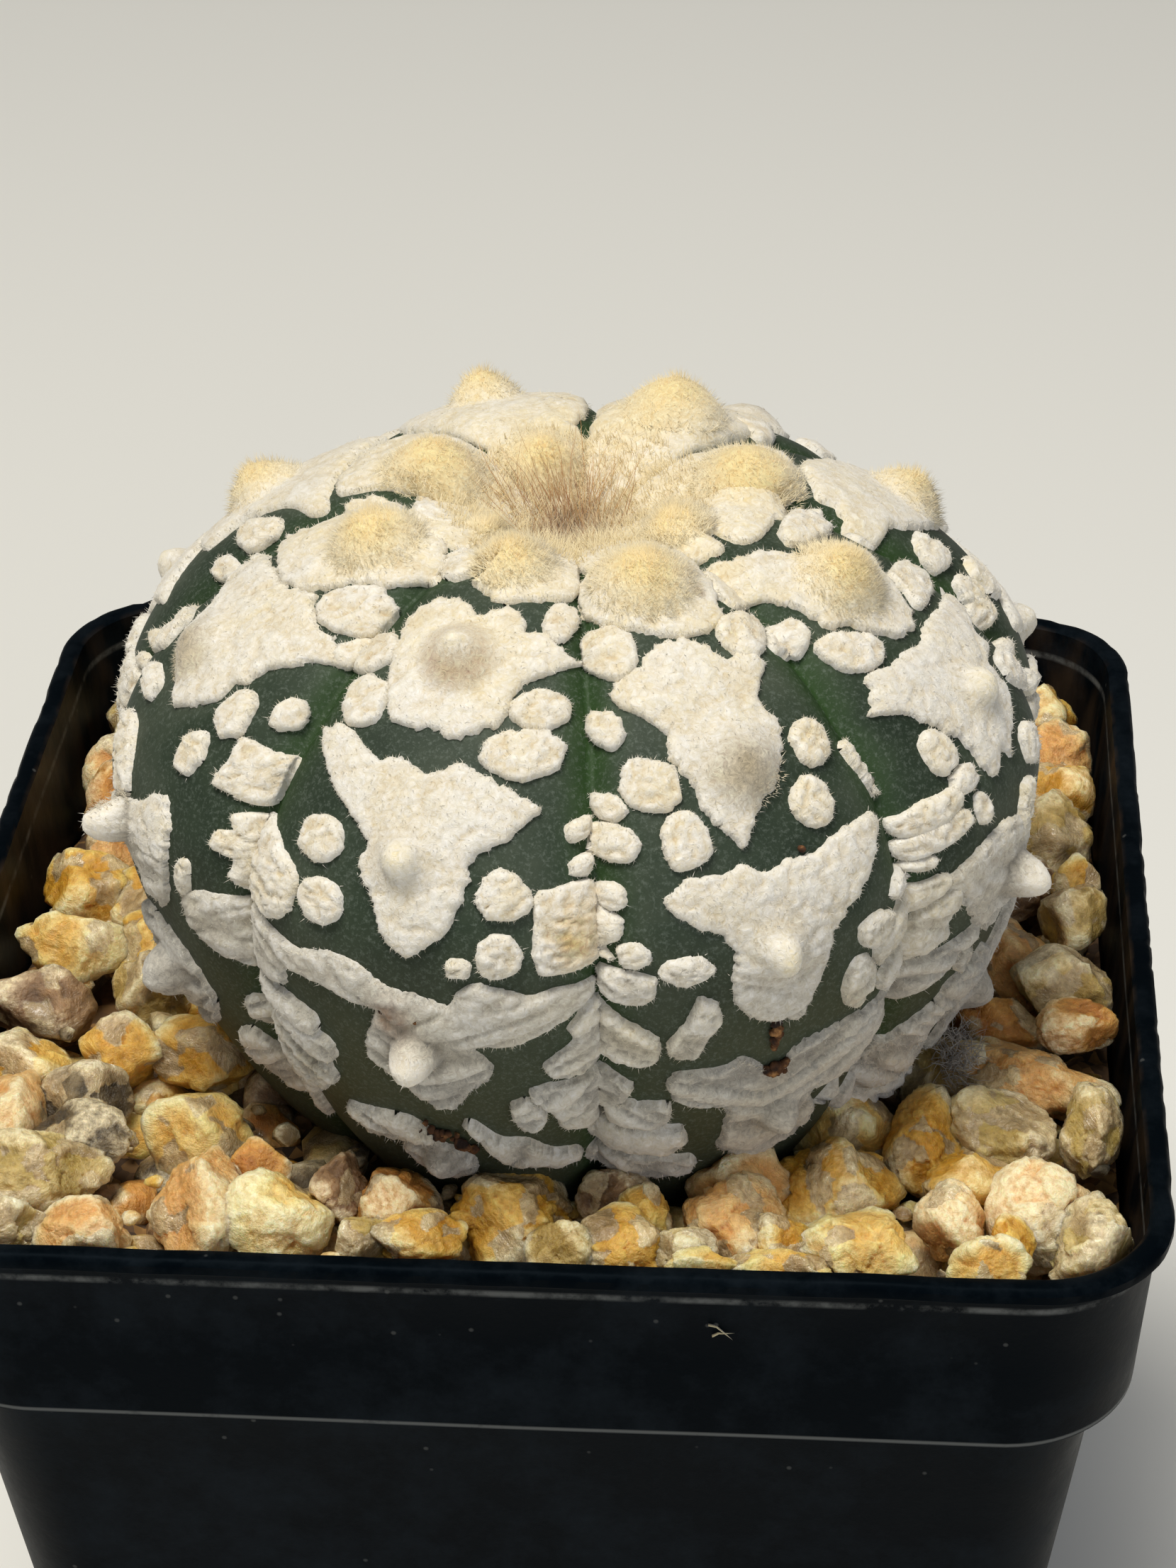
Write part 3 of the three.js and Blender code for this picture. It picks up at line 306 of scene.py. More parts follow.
STONES = [
    # X, Y, length, width, height, turn and colour. Before the plant, left to right
    (-25.3, -23.3, 8, 4.6, 4.4, 10, "grey"), (-26, -28, 6, 3.4, 3.6, -6, "grey"),
    (-21.3, -28.4, 4.6, 3, 3.6, 12, "peach"), (-16, -25.4, 4.6, 7.8, 6, 8, "peach"),
    (-12, -26.5, 5.6, 5.2, 5, -15, "cream"), (-9, -24, 3.2, 4.2, 3.6, 0, "brown"),
    (-7.4, -28.3, 2.8, 2.6, 2.8, 0, "grey"), (-6.2, -24.9, 4.2, 5, 4.5, 14, "orange"),
    (-4.6, -28.2, 5, 3, 3.2, 5, "gold"), (-0.5, -25.5, 7.4, 6, 5, -8, "gold"),
    (5.6, -28.2, 5.4, 4.6, 4.6, 10, "gold"), (8.7, -28.8, 3.4, 2.6, 2.8, 0, "grey"),
    (10.8, -25.9, 5.4, 6.4, 5, 20, "peach"), (9.6, -30, 4, 2.2, 2.6, 0, "cream"),
    (13.5, -29.9, 5.4, 2.6, 2.8, -4, "cream"), (13.3, -27.4, 3.2, 3.4, 3.6, 30, "gold"),
    (17.3, -27.6, 5.8, 4.4, 4.6, -12, "cream"), (21.8, -25.4, 3.8, 4.2, 4.6, 5, "peach"),
    (23.5, -29.2, 4, 3, 3.8, 0, "cream"), (24.4, -27, 2.8, 2.6, 3, 0, "gold"),
    (26.2, -23.5, 5.4, 6, 5, 22, "peach"), (28.9, -27.2, 5.8, 5.8, 5.4, -10, "grey"),
    (5, -24, 4, 3.2, 3, 0, "brown"), (-13.5, -22.4, 3.2, 3, 3, 0, "orange"),
    (6.4, -25.6, 3, 3, 3, 20, "gold"), (2.6, -28.6, 3.4, 3.6, 3.4, 30, "olive"),
    # Right of the plant, front to back
    (15.5, -21.8, 7.4, 6, 6, -14, "gold"), (20.3, -18, 4.2, 6.8, 6, 12, "gold"),
    (24, -17.4, 6.4, 5, 4.4, -24, "grey"), (28.9, -17.5, 3.2, 6, 4.2, 0, "grey"),
    (26, -13, 8.6, 4.2, 4.2, -25, "peach"), (28.6, -9.4, 4.8, 3.2, 3.2, 15, "orange"),
    (24, -7.6, 5, 3.2, 3.2, -20, "orange"), (27.8, -5.4, 5.8, 4.6, 4.2, 10, "olive"),
    (25, -2, 6.4, 6, 5.4, 0, "peach"), (28.6, 1.6, 4, 4.2, 4, 0, "olive"),
    (26, 5.6, 4.2, 4, 3.4, 20, "brown"), (28.8, 5.4, 3, 3, 3, 0, "gold"),
    (27.6, 10.6, 5.6, 7.6, 5, -12, "olive"), (28.2, 16, 4.4, 5, 4.4, 15, "gold"),
    (27.8, 21, 5, 4.8, 4.6, 0, "peach"), (27.2, 26.4, 5, 5.2, 4.8, 35, "gold"),
    # Left of the plant, front to back
    (-17, -18.5, 5.8, 5, 5, 15, "cream"), (-23, -20, 6, 3.6, 3.6, -10, "dark"),
    (-27, -17.6, 3.4, 5.8, 3.6, 0, "peach"), (-23.5, -16.4, 5, 3.6, 3.6, 12, "dark"),
    (-27.4, -13.4, 5, 3.6, 3.2, -8, "gold"), (-18, -11.6, 5.4, 4.6, 5, 20, "gold"),
    (-22.5, -12, 4.6, 4, 4.6, -16, "gold"), (-27.4, -7, 6.2, 5, 4.6, 5, "brown"),
    (-22, -4.6, 4.4, 4.6, 5, 0, "olive"), (-27.2, -1, 6.2, 5, 5, 10, "cream"),
    (-27.4, 5.5, 6, 5, 5, -12, "gold"), (-23.4, 4.6, 4.8, 4.6, 5, 25, "gold"),
    (-27, 10.2, 4, 4, 3.6, 0, "peach"), (-27.6, 16, 4.2, 5, 5, 10, "orange"),
    (-28.4, 19.6, 3.8, 4.6, 4.6, -20, "peach"), (-27.6, 26.6, 5.2, 7.2, 6.4, 6, "olive"),
]

seed = 41


def draw():
    """A seeded draw from 0 to 1."""
    global seed
    seed = (seed * 16807) % 2147483647
    return seed / 2147483647


def gravel_level(y):
    """How high the gravel lies, front to back."""
    return GRAVEL_FRONT - GRAVEL_FALL * (y + 31) / 62


def to_share(value):
    """A value held between 0 and 1."""
    return max(0, min(1, value))


def cut_planes():
    """The flat breaks of one grain: each a direction and how far it lies from the middle."""
    planes = []
    for _ in range(BREAKS):
        normal = Vector([draw() - 0.5 for _ in range(3)]).normalized()
        planes.append((normal, 0.7 + 0.25 * draw()))
    return planes


def balls(work, number, facets, count):
    """As many unit balls as stones: each round copies all so far, and the number layer tells them apart."""
    bmesh.ops.create_icosphere(work, subdivisions=facets, radius=1)
    made = 1
    while made < count:
        copies = bmesh.ops.duplicate(work, geom=work.verts[:] + work.edges[:] + work.faces[:])["geom"]
        for copied in copies:
            if isinstance(copied, bmesh.types.BMVert):
                copied[number] += made
        made *= 2
    spare = [vertex for vertex in work.verts if vertex[number] >= count]
    bmesh.ops.delete(work, geom=spare, context="VERTS")


def heap_stones(name, stones, facets):
    """Broken grains, each a ball cut flat by planes, its edges worn round and its faces rough."""
    work = bmesh.new()
    number = work.verts.layers.int.new("stone")
    light_layer = work.verts.layers.float_color.new("grain_light")
    deep_layer = work.verts.layers.float_color.new("grain_deep")
    facts = work.verts.layers.float_color.new("grain_facts")
    balls(work, number, facets, len(stones))
    for vertex in work.verts:
        (x, y, length, width, height, turn, colour), planes, top = stones[vertex[number]]
        light, deep, quartz = GRAVEL_COLOURS[colour]
        outward = vertex.co.normalized()
        reaches = [away / max(outward.dot(normal), 0.05) for normal, away in planes] + [1.12]
        closest = min(reaches)
        blend = sum(math.exp(-BREAK_SHARPNESS * (r - closest)) for r in reaches)
        reach = closest - math.log(blend) / BREAK_SHARPNESS
        shift = Vector((x * 7.1, y * 3.3, height))
        # Crystals 1.5 mm across stand out of the broken faces, with a furrow between them
        crystal = Vector((outward.x * length, outward.y * width, outward.z * height)) / 3 + shift
        far, centres = noise.voronoi(crystal + 0.3 * noise.noise_vector(crystal * 1.3))
        own = 0.5 + 0.5 * noise.cell(centres[0] * 9.7)
        its_share = 0.5 + 0.5 * noise.cell(centres[0] * 23.1)
        furrow = math.exp((far[0] - far[1]) / 0.07)
        lump = noise.noise(outward * 1.7 + shift)
        pit = abs(noise.noise(outward * 9.5 + shift))
        relief = 0.11 * lump + 0.13 * (own - 0.5) - 0.06 * furrow - 0.08 * pit
        place = outward * (reach + relief)
        place = Vector((place.x * length / 2, place.y * width / 2, place.z * height / 2))
        place = Matrix.Rotation(math.radians(turn), 3, "Z") @ place + Vector((x, y, top - 0.5 * height))
        away = math.hypot(place.x, place.y)
        wall = square_reach(math.atan2(place.y, place.x), INSIDE_HALF, INSIDE_CORNER) - WALL_SQUEEZE
        if away > wall:
            squeezed = wall + WALL_SQUEEZE * (1 - math.exp((wall - away) / WALL_SQUEEZE))
            place.x *= squeezed / away
            place.y *= squeezed / away
        vertex.co = place
        vertex[light_layer] = light
        vertex[deep_layer] = deep
        # How near a place is to a ridge between breaks; the material paints ridges lighter as a painted
        # highlight
        ridge = to_share((reach + relief - 0.84) * 3.2)
        vertex[facts] = (float(its_share < quartz), ridge, own, 1)
    finish_piece(name, work, gravel_material, "gravel")


def free_place(x, y, size):
    """Whether a filler there stays clear of the listed grains and the plant."""
    near = [math.hypot(x - s[0], y - s[1]) - 0.13 * (s[2] + s[3]) - 0.3 * size for s in STONES]
    return min(near) > 0 and math.hypot(x - PLANT_X, y - PLANT_Y) > PLANT_CLEAR + 0.1


# Light sinks a millimetre into the grains and comes out warmer, and washed quartz is glassy over its breaks
gravel_constants = {
    "IOR": 1.54,
    "Coat Roughness": 0.1,
    "Subsurface Weight": 0.5,
    "Subsurface Radius": (1, 0.75, 0.45),
    "Subsurface Scale": 1.5 * MM,
}
material, tree, shader = new_material("granite_gravel_broken_and_washed", gravel_constants)
place = add(tree, "TexCoord", {}).outputs["Object"]
light = add(tree, "Attribute", {}, attribute_name="grain_light")
deep = add(tree, "Attribute", {}, attribute_name="grain_deep")
facts = add(tree, "Attribute", {}, attribute_name="grain_facts")
is_quartz, ridge, own = add(tree, "SeparateColor", {"Color": facts}).outputs
# Crystals stained 2 to 3 mm across, quartz among them, and a sugary break of 0.3 mm
stain_scale = {"Vector": place, "Scale": 430, "Detail": 6, "Roughness": 0.62, "Distortion": 0.6}
stain = add(tree, "TexNoise", stain_scale)
vein_scale = {"Vector": place, "Scale": 300, "Detail": 5, "Roughness": 0.6, "Distortion": 1.1}
vein = add(tree, "TexNoise", vein_scale)
sugar = add(tree, "TexNoise", {"Vector": place, "Scale": 2300, "Detail": 5, "Roughness": 0.7})
tinted = add(tree, "Math", {0: own, 1: 0.14, 2: stain}, operation="MULTIPLY_ADD")
# Ridges between the breaks are tinted lighter: painted highlight
tinted = add(tree, "Math", {0: ridge, 1: 0.3, 2: tinted}, operation="MULTIPLY_ADD")
tint_with_painted_light = add(tree, "MapRange", {"Value": tinted, "From Min": 0.5, "From Max": 0.86})
base = add(tree, "Mix", {0: tint_with_painted_light, 6: deep, 7: light}, data_type="RGBA")
# The noise makes the quartz crystals' edges jagged
over = add(tree, "Math", {0: vein, 1: is_quartz}, operation="ADD")
quartz = add(tree, "MapRange", {"Value": over, "From Min": 0.82, "From Max": 1.18})
quartz_stops = [(0.35, "#937e5a"), (0.5, "#c0a87e"), (0.66, "#ead7a8")]
grey = add(tree, "ValToRGB", {"Fac": stain}, quartz_stops)
quartz_share = add(tree, "Math", {0: quartz, 1: 0.85}, operation="MULTIPLY")
base = add(tree, "Mix", {0: quartz_share, 6: base, 7: grey}, data_type="RGBA")
# Ridges flecked by the sugary break turn pale cream: painted highlight on the grains' edges
edge = add(tree, "Math", {0: ridge, 1: sugar}, operation="MULTIPLY")
edge = add(tree, "MapRange", {"Value": edge, "From Min": 0.2, "From Max": 0.55, "To Max": 0.7})
base = add(tree, "Mix", {0: edge, 6: base, 7: linear("#fff0c8")}, data_type="RGBA")
# The sugary break lightens and darkens the colour: partly its own grain, partly painted glints
glint_range = {"Value": sugar, "From Min": 0.3, "From Max": 0.7, "To Min": 0.72, "To Max": 1.25}
glint = add(tree, "MapRange", glint_range)
base = add(tree, "Mix", {0: 1, 6: base, 7: glint}, data_type="RGBA", blend_type="MULTIPLY")
rough = add(tree, "MapRange", {"Value": quartz, "To Min": 0.4, "To Max": 0.14})
coat = add(tree, "MapRange", {"Value": quartz, "To Min": 0.12, "To Max": 0.7})
lumps = add(tree, "Bump", {"Height": stain, "Strength": 0.8, "Distance": 0.9 * MM})
broken = {"Height": sugar, "Strength": 0.7, "Distance": 0.3 * MM, "Normal": lumps}
breaks = add(tree, "Bump", broken)
feed(shader, {"Base Color": base, "Roughness": rough, "Normal": breaks})
feed(shader, {"Coat Weight": coat, "Coat Normal": lumps})
gravel_material = material

for name, (light_hex, deep_hex, share_of_quartz) in GRAVEL_COLOURS.items():
    GRAVEL_COLOURS[name] = (linear(light_hex), linear(deep_hex), share_of_quartz)


def on_top(stone):
    """How high a grain's top stands."""
    banked = 0.34 * max(0, stone[0] - 22) * to_share((stone[1] + 22) / 14)
    return gravel_level(stone[1]) + 1.4 + 0.3 * stone[4] + banked


listed = [(stone, cut_planes(), on_top(stone)) for stone in STONES]
fillers = []
for row in range(11):
    for column in range(11):
        x = -28 + FILLER_SPACING * column + 1.8 * (draw() - 0.5)
        y = -28 + FILLER_SPACING * row + 1.8 * (draw() - 0.5)
        size = 5.2 + 1.8 * draw()
        turn = 90 * draw()
        if free_place(x, y, size):
            fillers.append((x, y, size, 0.85 * size, 0.8 * size, turn))
mixed = random.Random(7)
filling = []
for filler in fillers:
    colour = mixed.choice(("gold", "gold", "peach", "cream", "grey", "olive", "orange"))
    filling.append(((*filler, colour), cut_planes(), on_top(filler)))
heap_stones("gravel_front", listed[:32], 5)
heap_stones("gravel_sides", listed[32:] + filling, 4)

# A lower layer shows in the gaps, in browner and darker colours as painted shade there, and small chips lie
# between the grains
lower, chips = [], []
while len(lower) < LOWER_COUNT:
    x, y = mixed.uniform(-28.6, 28.6), mixed.uniform(-28.6, 28.6)
    if math.hypot(x - PLANT_X, y - PLANT_Y) > PLANT_CLEAR - 1:
        size = mixed.uniform(3, 5)
        # Browner and darker colours down here: painted shade in the gaps
        colour = mixed.choice(("gold", "brown", "peach", "dark", "olive", "orange"))
        stone = (x, y, size, size * 0.85, size * 0.8, mixed.uniform(0, 180), colour)
        lower.append((stone, cut_planes(), gravel_level(y) - mixed.uniform(0.1, 1.4)))
while len(chips) < CHIP_COUNT:
    x, y = mixed.uniform(-29.4, 29.4), mixed.uniform(-29.4, 29.4)
    if math.hypot(x - PLANT_X, y - PLANT_Y) > PLANT_CLEAR:
        size = mixed.uniform(0.7, 2)
        colour = mixed.choice(("gold", "cream", "peach", "dark", "grey"))
        chip = (x, y, size, size * 0.8, size * 0.7, mixed.uniform(0, 180), colour)
        chips.append((chip, cut_planes(), gravel_level(y) + mixed.uniform(-1.2, 0.9)))
heap_stones("gravel_lower", lower, 2)
heap_stones("gravel_chips", chips, 2)

# Grit: what the gravel has worn off, crumbs of granite below the grains, coloured dark as painted shade in
# the gaps. A rough sheet of it shows in the gaps and reaches the pot's wall.
GRIT_HALF = 30.4
work = bmesh.new()
bmesh.ops.create_grid(work, x_segments=72, y_segments=72, size=GRIT_HALF)
for vertex in work.verts:
    x, y, _ = vertex.co
    away = math.hypot(x, y)
    limit = square_reach(math.atan2(y, x), GRIT_HALF, 5.4)
    shrink = min(1, limit / max(away, 0.001))
    lumps = noise.noise(Vector((x * 0.6, y * 0.6, 0))) + 0.6 * noise.noise(Vector((x * 1.7, y * 1.7, 5)))
    vertex.co = (x * shrink, y * shrink, gravel_level(y) - 2.6 + 0.7 * lumps)
material, tree, shader = new_material("granite_grit_painted_shade", {"Roughness": 0.9})
place = add(tree, "TexCoord", {}).outputs["Object"]
grit = add(tree, "TexVoronoi", {"Vector": place, "Scale": 1300})
# Dark browns: painted shade for the gaps between the grains
grit_painted_shade_stops = [(0, "#241a12"), (0.5, "#5b432a"), (0.85, "#8f6a38"), (1, "#c9a468")]
brown = add(tree, "ValToRGB", {"Fac": grit.outputs["Color"]}, grit_painted_shade_stops)
bump = add(tree, "Bump", {"Height": grit, "Strength": 0.9, "Distance": 0.5 * MM})
feed(shader, {"Base Color": brown, "Normal": bump})
finish_piece("gravel_grit", work, material, "gravel")

# Plant: the living body, a low globe of eight ribs with a waxy dark skin, bright green in the grooves, and a
# short root below the gravel.
GROOVES = [7, 48, 93, 133, 178, 224, 274, 321, 367]
EQUATOR_Z = 74.3
BODY_RADIUS = 24.3
DOME_HEIGHT = 15.1
BODY_DEPTH = 30
BODY_POWER = 1.75
ROOT = [(146, 44.5, 8.2), (153, 40, 5.6), (163, 34, 3.6), (172, 28, 1.9), (180, 24, 0)]
ROOT_FROM = ROOT[0][0]
SKIN_COLUMNS = 30
SKIN_ROWS = 104
GROOVE_GREEN = 1.3


def rib_across(azimuth):
    """Where an azimuth lies across its rib, from -1 to 1, and the rib's half width in degrees."""
    turned = (azimuth - GROOVES[0]) % 360 + GROOVES[0]
    for start, end in zip(GROOVES, GROOVES[1:]):
        if turned <= end:
            return (2 * turned - start - end) / (end - start), (end - start) / 2


def body_point(azimuth, polar):
    """A place on the body in millimetres, by its azimuth from the front and polar angle from the crown."""
    across, half = rib_across(azimuth)
    sine, cosine = math.sin(math.radians(polar)), math.cos(math.radians(polar))
    radius = BODY_RADIUS * sine ** (2 / BODY_POWER)
    from_groove = (1 - abs(across)) * math.radians(half) * radius
    shrink = 1 - 0.06 * across**4 - 0.016 * math.exp(-((from_groove / 0.6) ** 2))
    level = abs(cosine) ** (2 / BODY_POWER) * (DOME_HEIGHT if cosine > 0 else -BODY_DEPTH)
    sink = 4.6 * math.exp(-((radius / 6) ** 2))
    turn = math.radians(azimuth)
    return Vector((
        PLANT_X + radius * shrink * math.sin(turn),
        PLANT_Y - radius * shrink * math.cos(turn),
        EQUATOR_Z + level * (0.35 + 0.65 * shrink) - sink,
    ))


def body_normal(azimuth, polar, here):
    """The direction that the skin faces at a place."""
    down = body_point(azimuth, min(polar + 0.5, 179)) - here
    around = body_point(azimuth + 0.6, polar) - here
    return down.cross(around).normalized()


work = bmesh.new()
groove_layer = work.verts.layers.float.new("groove")
polar_layer = work.verts.layers.float.new("polar")
ball = bmesh.ops.create_uvsphere(work, u_segments=8 * SKIN_COLUMNS, v_segments=SKIN_ROWS, radius=1)
for vertex in ball["verts"]:
    x, y, z = vertex.co
    column = round(math.atan2(y, x) / math.tau * 8 * SKIN_COLUMNS) % (8 * SKIN_COLUMNS)
    polar = math.degrees(math.acos(max(-1, min(1, z))))
    start, end = GROOVES[column // SKIN_COLUMNS], GROOVES[column // SKIN_COLUMNS + 1]
    across = 2 * (column % SKIN_COLUMNS) / SKIN_COLUMNS - 1
    across = 0.5 * across + 0.5 * math.sin(across * math.pi / 2)
    azimuth = (start + end) / 2 + across * (end - start) / 2
    if polar <= ROOT_FROM:
        lump = 0.09 * noise.noise(Vector((azimuth / 9, polar / 9, 3)))
        place = body_point(azimuth, max(polar, 0.01))
        vertex.co = place + body_normal(azimuth, max(polar, 0.01), place) * lump
    else:
        above = max(ring for ring in ROOT if ring[0] <= polar)
        below = min((ring for ring in ROOT if ring[0] > polar), default=ROOT[-1])
        share = (polar - above[0]) / max(below[0] - above[0], 1)
        radius = above[2] + (below[2] - above[2]) * share
        vertex.co = (
            PLANT_X + radius * math.sin(math.radians(azimuth)),
            PLANT_Y - radius * math.cos(math.radians(azimuth)),
            above[1] + (below[1] - above[1]) * share,
        )
    half_width = math.radians((end - start) / 2) * BODY_RADIUS
    from_groove = (1 - abs(across)) * half_width * math.sin(math.radians(polar))
    vertex[groove_layer] = math.exp(-((from_groove / GROOVE_GREEN) ** 2))
    vertex[polar_layer] = polar
bmesh.ops.recalc_face_normals(work, faces=work.faces)

# A waxy skin: soft highlights, a dull dark green with fine pale points, brighter where young tissue shows
skin_constants = {"Roughness": 0.58, "IOR": 1.42, "Specular IOR Level": 0.25}
material, tree, shader = new_material("cactus_skin_living_waxy", skin_constants)
place = add(tree, "TexCoord", {}).outputs["Object"]
groove = add(tree, "Attribute", {}, attribute_name="groove").outputs["Fac"]
polar = add(tree, "Attribute", {}, attribute_name="polar").outputs["Fac"]
cloud = add(tree, "TexNoise", {"Vector": place, "Scale": 170, "Detail": 5, "Roughness": 0.6})
point = add(tree, "TexNoise", {"Vector": place, "Scale": 4600, "Detail": 2, "Roughness": 0.8})
green_stops = [(0.3, "#232e22"), (0.5, "#303b2d"), (0.72, "#454d3f")]
green = add(tree, "ValToRGB", {"Fac": cloud}, green_stops)
low = add(tree, "MapRange", {"Value": polar, "From Min": 78, "From Max": 112})
low_share = add(tree, "Math", {0: low, 1: 0.75}, operation="MULTIPLY")
green = add(tree, "Mix", {0: low_share, 6: green, 7: linear("#454936")}, data_type="RGBA")
uneven = add(tree, "MapRange", {"Value": cloud, "From Min": 0.35, "From Max": 0.6, "To Min": 0.35})
groove_share = add(tree, "Math", {0: groove, 1: uneven}, operation="MULTIPLY")
green = add(tree, "Mix", {0: groove_share, 6: green, 7: linear("#2b431f")}, data_type="RGBA")
speckle = add(tree, "MapRange", {"Value": point, "From Min": 0.5, "From Max": 0.8, "To Max": 0.3})
green = add(tree, "Mix", {0: speckle, 6: green, 7: linear("#8b958a")}, data_type="RGBA")
crown = add(tree, "MapRange", {"Value": polar, "From Min": 17, "From Max": 9})
green = add(tree, "Mix", {0: crown, 6: green, 7: linear("#a88a52")}, data_type="RGBA")
bump = add(tree, "Bump", {"Height": point, "Strength": 0.3, "Distance": 0.05 * MM})
feed(shader, {"Base Color": green, "Normal": bump})
finish_piece("cactus_skin", work, material, "cactus")

